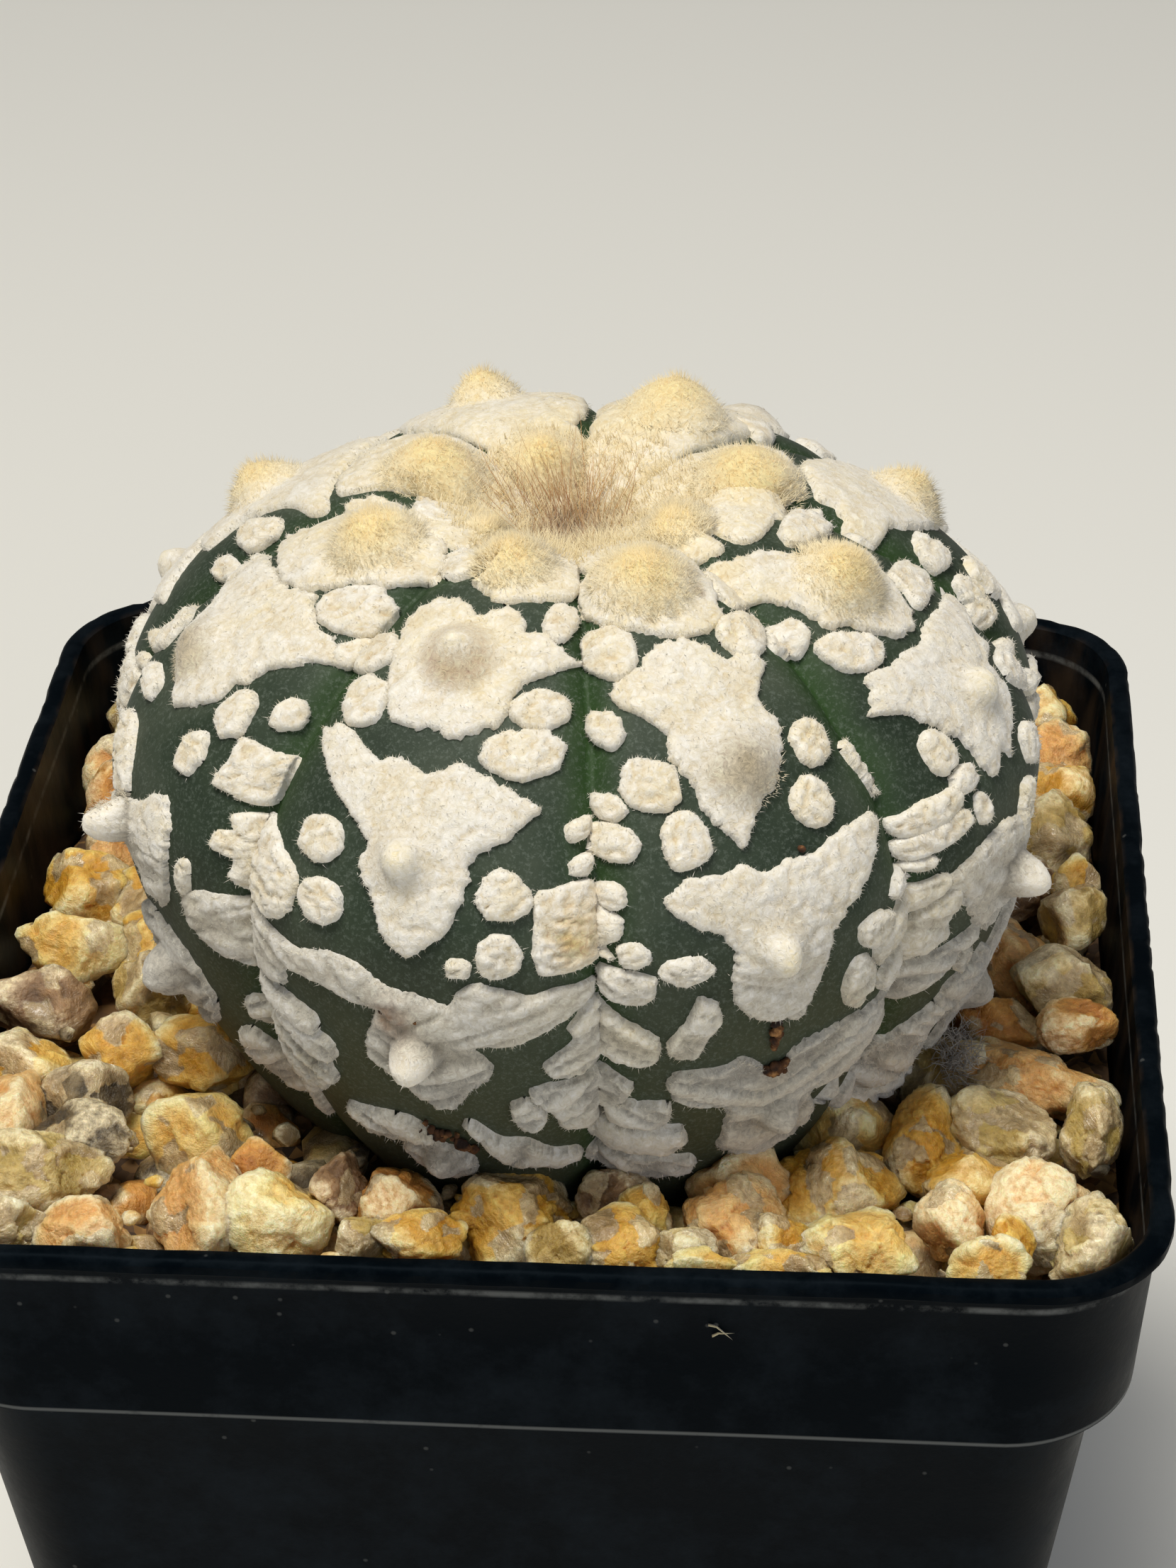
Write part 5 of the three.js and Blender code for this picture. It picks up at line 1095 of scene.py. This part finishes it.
def lay_felt(work, layer, outline, form, cell, roots):
    """One pad: a fine grid over its outline's box, trimmed to the outline and raised from the skin."""
    edge = smooth_edge(outline, 0.13)
    ragged = []
    for azimuth, polar in edge:
        here = body_point(azimuth, polar)
        young = to_share((62 - polar) / 24)
        wave = 0.24 * noise.noise(here * 2.2) + 0.17 * noise.noise(here * 6)
        wave = (wave if form == "star" else 0.45 * wave) + 0.14 * young
        wide = max(0.05, degree_width(max(polar, 1)))
        centre = middle_of(outline)
        off = Vector(((azimuth - centre[0]) * wide, (polar - centre[1]) * DEGREE_MM)).normalized() * wave
        ragged.append((azimuth + off.x / wide, polar + off.y / DEGREE_MM))
    frames = edge_frames(ragged)
    near_edge = kdtree.KDTree(len(frames))
    for index, frame_here in enumerate(frames):
        near_edge.insert(frame_here[0], index)
    near_edge.balance()
    left, right_side = min(p[0] for p in ragged), max(p[0] for p in ragged)
    top, bottom = max(min(p[1] for p in ragged), 0.3), max(p[1] for p in ragged)
    middle_sine = math.sin(math.radians((top + bottom) / 2))
    across = math.radians(right_side - left) * BODY_RADIUS * middle_sine**WIDTH_POWER
    columns = max(4, math.ceil(across / cell))
    rows = max(4, math.ceil((bottom - top) * DEGREE_MM / cell))
    grid = bmesh.ops.create_grid(work, x_segments=columns, y_segments=rows, size=0.5)["verts"]
    middles, outside = [], set()
    for vertex in grid:
        azimuth = left + (right_side - left) * (vertex.co.x + 0.5)
        polar = top + (bottom - top) * (0.5 - vertex.co.y)
        here = body_point(azimuth, polar)
        place, index, inside = near_edge.find(here)
        if (here - place).dot(frames[index][1]) > 0:
            outside.add(vertex)
            vertex.co = place - frames[index][2] * 0.12
            vertex[layer] = wool_colour(place, azimuth, polar, "bump", 0, 0, form)
            continue
        normal = body_normal(azimuth, polar, here)
        edge_share = min(1, inside / 0.42)
        dome_share = min(1, inside / 1.5)
        worn = to_share((polar - 78) / WORN_OVER)
        thick = FELT_THICKNESS[form] * (1 + 0.3 * worn)
        edge_round = math.sqrt(1 - (1 - edge_share) ** 2)
        rise = thick * (0.6 * edge_round + 0.4 * math.sqrt(1 - (1 - dome_share) ** 2))
        bent = here + 0.7 * noise.noise_vector(here * 0.7)
        fold = max(0, 1 - 4 * abs(noise.noise(bent * (0.6 if form == "star" else 1.0))))
        crease = max(0, 1 - 3.5 * abs(noise.noise(bent * (1.3 if form == "star" else 2.1))))
        # Old felt low on the body lies in ropes that slope down and away from the grooves
        across, half = rib_across(azimuth)
        aside = (1 - abs(across)) * math.radians(half) * BODY_RADIUS
        rope = noise.noise(Vector((0.22 * aside, 1.15 * (polar * DEGREE_MM - 0.35 * aside), azimuth / 60)))
        fold += (max(0, 1 - 4.2 * abs(rope)) - fold) * worn
        lift, kind, close, below = mound_rise(here, inside)
        depth = (0.4 * worn + 0.15 * (1 - worn) * (0.6 if form == "star" else 1)) * fold
        depth += 0.1 * crease * (0.4 if form == "star" else 1)
        clump = (0.04 if form == "star" else 0.07) * noise.noise(here * 3.1)
        rise += lift - edge_share * (depth * (1 - close) - clump - 0.05 * noise.noise(here * 7))
        vertex.co = here + normal * rise
        colour = wool_colour(here, azimuth, polar, kind, close, below, form)
        # Folds and creases are painted darker, tan in young felt and grey-brown in old: painted shade in the
        # hollows
        painted_fold_shade = (0.42 * fold + 0.3 * (1 - worn) * crease) * edge_share * (1 - close)
        painted_fold_shade *= 0.6 + 0.4 * worn if form == "star" else 1
        tone = mix(colour, mix(linear("#c3a970"), linear("#5d574a"), worn), (1 + 0.6 * worn) * painted_fold_shade)
        # Low on the body the pads darken at their edges: painted shadow along the edge
        vertex[layer] = mix(tone, linear("#5a5444"), 0.7 * worn * (1 - inside / 0.22))
        middles.append((vertex.co.copy(), normal, colour))
    faces = {face for vertex in grid for face in vertex.link_faces}
    stray = [face for face in faces if all(vertex in outside for vertex in face.verts)]
    bmesh.ops.delete(work, geom=stray, context="FACES")
    roots.append((frames, middles, form))


# In the crown each rib ends in a lobe of young felt, close to the next
patches = []
for start, end, middle in RIBS:
    lobe = [(start + 3, 7), (end - 3, 7), (end - 1.5, 14), (end - 2, 21)]
    lobe += [(middle, 23), (start + 2, 21), (start + 1.5, 14)]
    patches.append((lobe, "star"))
patches += [(outline, "star") for _, _, _, _, outline in STARS]
patches += [(outline, "fleck") for outline in PLATES]
patches += [(round_outline(*dot), "fleck") for dot in DOTS]
patches += [(streak_outline(*streak), "fleck") for streak in STREAKS]

# Matted wool scatters the light: no gloss, soft shadows, and fibres about 0.1 mm apart, drawn as coarse as
# they show
felt_constants = {"Roughness": 0.95, "IOR": 1.4, "Sheen Weight": 0.35, "Sheen Roughness": 0.6}
material, tree, shader = new_material("trichome_felt_matted_wool", felt_constants)
place = add(tree, "TexCoord", {}).outputs["Object"]
tone = add(tree, "Attribute", {}, attribute_name="wool_tone")
fibre_scale = {"Vector": place, "Scale": 2600, "Detail": 5, "Roughness": 0.75, "Distortion": 1.2}
fibre = add(tree, "TexNoise", fibre_scale)
mat_scale = {"Vector": place, "Scale": 800, "Detail": 4, "Roughness": 0.6, "Distortion": 0.8}
mat = add(tree, "TexNoise", mat_scale)
light_and_dark = add(tree, "MapRange", {"Value": fibre, "From Min": 0.28, "From Max": 0.68})
shares = {0: 0.42, 6: tone, 7: light_and_dark}
strands = add(tree, "Mix", shares, data_type="RGBA", blend_type="OVERLAY")
lumps = add(tree, "Bump", {"Height": mat, "Strength": 0.35, "Distance": 0.2 * MM})
matted = {"Height": fibre, "Strength": 0.7, "Distance": 0.12 * MM, "Normal": lumps}
fibres = add(tree, "Bump", matted)
feed(shader, {"Base Color": strands, "Normal": fibres})
felt_material = material

felt_roots = {}
for side in ("near", "far"):
    work = bmesh.new()
    tone_layer = work.verts.layers.float_color.new("wool_tone")
    felt_roots[side] = []
    for outline, form in patches:
        is_near = abs(from_middle(middle_of(outline)[0], 0)) < NEAR_TO
        if is_near == (side == "near"):
            cell = NEAR_CELL if is_near else FAR_CELL
            lay_felt(work, tone_layer, outline, form, cell, felt_roots[side])
    bmesh.ops.dissolve_degenerate(work, dist=0.004, edges=work.edges)
    bmesh.ops.recalc_face_normals(work, faces=work.faces)
    for loose in [vertex for vertex in work.verts if not vertex.link_faces]:
        work.verts.remove(loose)
    finish_piece("felt_" + side, work, felt_material, "cactus")

# Wool: the loose ends of the trichomes, a fringe round each pad and a nap over it, dense golden wool on the
# young areoles, and long amber hairs in the crown. Each is one tapered hair, rooted in the felt.
HAIR_RADIUS = 0.02
NAP_SHARE = {"near": 0.4, "far": 0.2}
BARE_SHARE = 0.55


def grow_hairs(name, hairs, joints, slot="cactus"):
    """Grows hairs from root triangles: each has places along it, a radius, and root and tip colours."""
    work = bmesh.new()
    number = work.verts.layers.int.new("hair")
    layer = work.verts.layers.float_color.new("wool_tone")
    faces = []
    for index, (places, radius, root_colour, _) in enumerate(hairs):
        along = (places[1] - places[0]).normalized()
        side = along.orthogonal().normalized() * radius
        corners = []
        for turn in (0, 2.094, 4.189):
            corner = work.verts.new(places[0] + Matrix.Rotation(turn, 3, along) @ side)
            corner[number] = index
            corner[layer] = root_colour
            corners.append(corner)
        faces.append(work.faces.new(corners))
    for joint in range(1, joints):
        faces = bmesh.ops.extrude_discrete_faces(work, faces=faces)["faces"]
        for face in faces:
            places, radius, root_colour, tip_colour = hairs[face.verts[0][number]]
            step = places[joint] - places[joint - 1]
            middle = face.calc_center_median()
            colour = mix(root_colour, tip_colour, joint / joints)
            for corner in face.verts:
                off = corner.co - middle
                corner.co = middle + step + off * (1 - 0.55 * joint / joints)
                corner[layer] = colour
    tips = bmesh.ops.poke(work, faces=faces)["verts"]
    for tip in tips:
        root = tip.link_edges[0].other_vert(tip)
        places, _, _, tip_colour = hairs[root[number]]
        tip.co = places[joints]
        tip[layer] = tip_colour
    bmesh.ops.recalc_face_normals(work, faces=work.faces)
    finish_piece(name, work, wool_material, "cactus" if slot == "cactus" else None)


def sway(direction, amount):
    """A direction bent at random."""
    return (direction + Vector([tangle.gauss(0, amount) for _ in range(3)])).normalized()


def bent_hair(root, direction, length, joints, bend):
    """Places along a curved hair."""
    places = [root]
    for _ in range(joints):
        places.append(places[-1] + direction * length / joints)
        direction = sway(direction, bend)
    return places


# Silky hair: thin, pale and a little translucent, so its edges glow
wool_constants = {"Roughness": 0.6, "IOR": 1.4, "Sheen Weight": 0.3}
material, tree, shader = new_material("trichome_hair_silky", wool_constants)
feed(shader, {"Base Color": add(tree, "Attribute", {}, attribute_name="wool_tone")})
wool_material = material

tangle = random.Random(12)
for side in ("near", "far"):
    fringe = []
    for frames, middles, form in felt_roots[side]:
        thick = FELT_THICKNESS[form]
        for point, outward, normal in frames:
            if side == "far" and tangle.random() < BARE_SHARE:
                continue
            for _ in range(2):
                lift = tangle.uniform(0.1, 0.75) * thick
                root = point + normal * lift - outward * (0.1 + 0.15 * lift / thick)
                direction = sway(outward + normal * tangle.uniform(-0.2, 0.7), 0.35)
                tint = mix(linear(WOOL_WHITE), linear(WOOL_CREAM), tangle.random() * 0.6)
                length = tangle.uniform(0.08, 0.3)
                fringe.append(([root, root + direction * length], 0.8 * HAIR_RADIUS, tint, tint))
        for place, normal, colour in middles:
            if tangle.random() < NAP_SHARE[side]:
                jitter = Vector([tangle.uniform(-0.1, 0.1) for _ in range(3)])
                direction = sway(normal * 0.45 + jitter * 4, 0.45)
                length = tangle.uniform(0.12, 0.36)
                tip = mix(colour, linear("#fff8e8"), 0.4)
                root = place + jitter - normal * 0.08
                fringe.append(([root, root + direction * length], HAIR_RADIUS, colour, tip))
    grow_hairs("felt_nap_" + side, fringe, 1)

# Areole wool, by kind: hairs on a near areole, shortest and longest, spread, and colours at the edge and in
# the middle. It lies in locks that turn round the areole.
WOOLS = {
    "tuft": (3400, 0.4, 1.05, 0.34, "#f0e5c4", "#e2c98c"),
    "cone": (1000, 0.2, 0.5, 0.4, "#e2cfa2", "#f4e9cc"),
    "swell": (900, 0.2, 0.5, 0.4, "#ddd3b9", "#bcae8c"),
    "nub": (900, 0.15, 0.42, 0.4, "#ddd3b8", "#f0e4c2"),
    "ball": (1000, 0.18, 0.42, 0.4, "#bfb5a0", "#ede5d0"),
    "bump": (600, 0.2, 0.5, 0.4, "#b9ae97", "#8f8673"),
}
for side in ("near", "far"):
    wool = []
    for areole, kind, radius, height, _ in STARS:
        is_near = abs(from_middle(areole[0], 0)) < NEAR_TO
        if is_near != (side == "near"):
            continue
        count, shortest, longest, spread, edge_colour, middle_colour = WOOLS[kind]
        centre = body_point(*areole)
        normal = body_normal(*areole, centre)
        across = normal.orthogonal().normalized()
        for _ in range(count if is_near else count // 2):
            away = radius * 0.9 * tangle.random() ** 0.6
            turn = tangle.uniform(0, math.tau)
            off = Matrix.Rotation(turn, 3, normal) @ across * away
            share = away / radius
            lift = FELT_THICKNESS["star"] + mound_height(kind, share, height)
            root = centre + off + normal * (lift - 0.3 - 0.02 * away**2)
            round_it = normal.cross(off).normalized()
            lock = noise.noise_vector(root * 1.7)
            lean = normal * (0.9 - 0.5 * share) + off.normalized() * 0.75 * share
            lean = lean + round_it * 0.3 + 0.6 * lock
            length = tangle.uniform(shortest, longest) * (1 - 0.3 * share)
            colour = mix(linear(middle_colour), linear(edge_colour), share + tangle.gauss(0, 0.15))
            colour = mix(colour, linear("#c19c5c"), 0.5 * lock.x)
            tip = mix(colour, linear("#fff3d2"), 0.35)
            wool.append(([root, root + sway(lean, spread) * length], HAIR_RADIUS * 1.15, colour, tip))
    grow_hairs("areole_wool_" + side, wool, 1)

# Crown hairs: stiff and amber, brown at the root, sweeping up and out of a hollow lined with pale wool. They
# grow from the youngest areoles and root in the body.
CROWN_HAIRS = 230
CROWN_WOOL = 6400
hairs = []
for _ in range(CROWN_HAIRS):
    azimuth = tangle.gauss(-165, 90)
    polar = 1.5 + 8 * tangle.random()
    root = body_point(azimuth, polar)
    turn = math.radians(azimuth)
    outward = Vector((math.sin(turn), -math.cos(turn), 0))
    lean = math.radians(8 + 3 * polar + tangle.gauss(0, 14))
    direction = sway(Vector((-0.12, 0.1, math.cos(lean))) + outward * math.sin(lean), 0.16)
    length = tangle.uniform(2.8, 6.2)
    shade = tangle.random() - 0.4 * math.exp(-((from_middle(azimuth, -150) / 50) ** 2))
    root_colour = mix(linear("#9c6430"), linear("#d4ab66"), shade)
    tip_colour = mix(linear("#d29c56"), linear("#f2dba2"), shade)
    places = bent_hair(root - direction * 0.4, direction, length, 5, 0.14)
    hairs.append((places, tangle.uniform(0.024, 0.04), root_colour, tip_colour))
grow_hairs("crown_hairs", hairs, 5)
hairs = []
for _ in range(CROWN_WOOL):
    azimuth = tangle.uniform(-180, 180)
    polar = 2 + 18 * tangle.random() ** 0.75
    root = body_point(azimuth, polar)
    normal = body_normal(azimuth, polar, root)
    lock = noise.noise_vector(root * 1.1)
    direction = sway(normal + Vector((0, 0, 0.4)) + 0.9 * lock, 0.35)
    length = tangle.uniform(0.9, 2.2) * (1 - 0.015 * polar)
    # The wool browns towards the bottom of the crown hollow: partly its own colour, partly painted shade
    share = (polar - 2.5) / 7 + tangle.gauss(0, 0.2)
    colour = mix(linear("#9a7040"), linear("#ecd9a8"), share + 0.8 * lock.y)
    places = bent_hair(root, direction, length, 2, 0.3)
    hairs.append((places, 0.026, colour, mix(colour, linear("#f8ebc6"), 0.5)))
grow_hairs("crown_wool", hairs, 2)

# Litter: a split straw stuck on the collar, and grey wisps of shed wool caught where the plant meets the
# gravel
WISPS = 420
straw_tone = linear("#b9ac85")
forks = (
    [(9.9, 56.6), (10.3, 56.5), (10.7, 56.1), (11.1, 55.7)],
    [(10.1, 55.9), (10.4, 56.1), (10.7, 56.1), (11.2, 56.15)],
)
straw_tip = linear("#d8cda8")
straws = [([Vector((x, -31.72, z)) for x, z in fork], 0.085, straw_tone, straw_tip) for fork in forks]
grow_hairs("straw_on_collar", straws, 3, "pot")
wisps = []
for _ in range(WISPS):
    root = Vector((21.9 + tangle.gauss(0, 0.5), -12.2 + tangle.gauss(0, 1), 59 + tangle.gauss(0, 0.6)))
    direction = sway(Vector((0.3, -0.3, 0.4)), 0.8)
    grey = mix(linear("#8d867c"), linear("#b9b3a8"), tangle.random())
    length = tangle.uniform(0.5, 1.9)
    wisps.append((bent_hair(root, direction, length, 2, 0.5), 0.026, grey, grey))
grow_hairs("shed_wool", wisps, 2)

# Scars: brown cork where the skin has cracked between the old pads, and a crumb of it higher up. They are
# lumps of dead bark that grew out of the skin.
SCARS = [
    # Azimuth, polar angle, and how far it runs across and down in degrees
    (-16.5, 96, 1.6, 1.2), (-14, 115, 3.2, 1.3), (-11, 116.5, 1.6, 0.8), (27.8, 100.5, 0.5, 2.6),
    (28.6, 106.5, 1.6, 0.9), (32.5, 69.3, 0.2, 0.2),
]
work = bmesh.new()
for azimuth, polar, across, down in SCARS:
    for _ in range(26 if across > 0.3 else 2):
        spot = azimuth + tangle.gauss(0, 0.5) * across, polar + tangle.gauss(0, 0.5) * down
        here = body_point(*spot)
        size = tangle.uniform(0.1, 0.26)
        turned = Matrix.Translation(here + body_normal(*spot, here) * 0.22) @ Matrix.Scale(size, 4)
        bmesh.ops.create_icosphere(work, subdivisions=2, radius=1, matrix=turned)
for vertex in work.verts:
    vertex.co += 0.09 * noise.noise_vector(vertex.co * 5)
material, tree, shader = new_material("cactus_cork_dry", {"Roughness": 0.9, "IOR": 1.4})
place = add(tree, "TexCoord", {}).outputs["Object"]
flake = add(tree, "TexNoise", {"Vector": place, "Scale": 1500, "Detail": 4})
cork_stops = [(0.38, "#241711"), (0.55, "#5a3a22"), (0.68, "#a5794a")]
feed(shader, {"Base Color": add(tree, "ValToRGB", {"Fac": flake}, cork_stops)})
finish_piece("cork_scars", work, material, "cactus")

# Stage: a pale matt table, and soft light from a large window above it, with a weaker fill from the front.
# None of it belongs to the part.
work = bmesh.new()
bmesh.ops.create_grid(work, x_segments=1, y_segments=1, size=4)
floor_mesh = bpy.data.meshes.new("table_top")
work.to_mesh(floor_mesh)
work.free()
floor = bpy.data.objects.new("table_top", floor_mesh)
bpy.context.collection.objects.link(floor)
table_constants = {"Roughness": 0.85, "Base Color": linear("#ebeae3")}
material, tree, shader = new_material("table_top_matt_lacquered", table_constants)
floor_mesh.materials.append(material)


def soft_light(name, place, size, watts, colour):
    """A square area light aimed at the plant."""
    lamp = bpy.data.lights.new(name, "AREA")
    lamp.size = size
    lamp.energy = watts
    lamp.color = linear(colour)[:3]
    holder = bpy.data.objects.new(name, lamp)
    holder.location = place
    holder.rotation_mode = "QUATERNION"
    holder.rotation_quaternion = (Vector((0, 0, 0.07)) - Vector(place)).to_track_quat("-Z", "Y")
    bpy.context.collection.objects.link(holder)


soft_light("window", (-0.12, -0.1, 0.7), 0.3, 4.6, "#fffbf4")
soft_light("fill", (0.3, -0.6, 0.35), 0.5, 1.45, "#f2f5ff")
world = bpy.data.worlds.new("room")
world.use_nodes = True
feed(world.node_tree.nodes["Background"], {"Color": linear("#dfe3e8"), "Strength": 0.16})
bpy.context.scene.world = world
bpy.context.scene.view_settings.view_transform = "Standard"
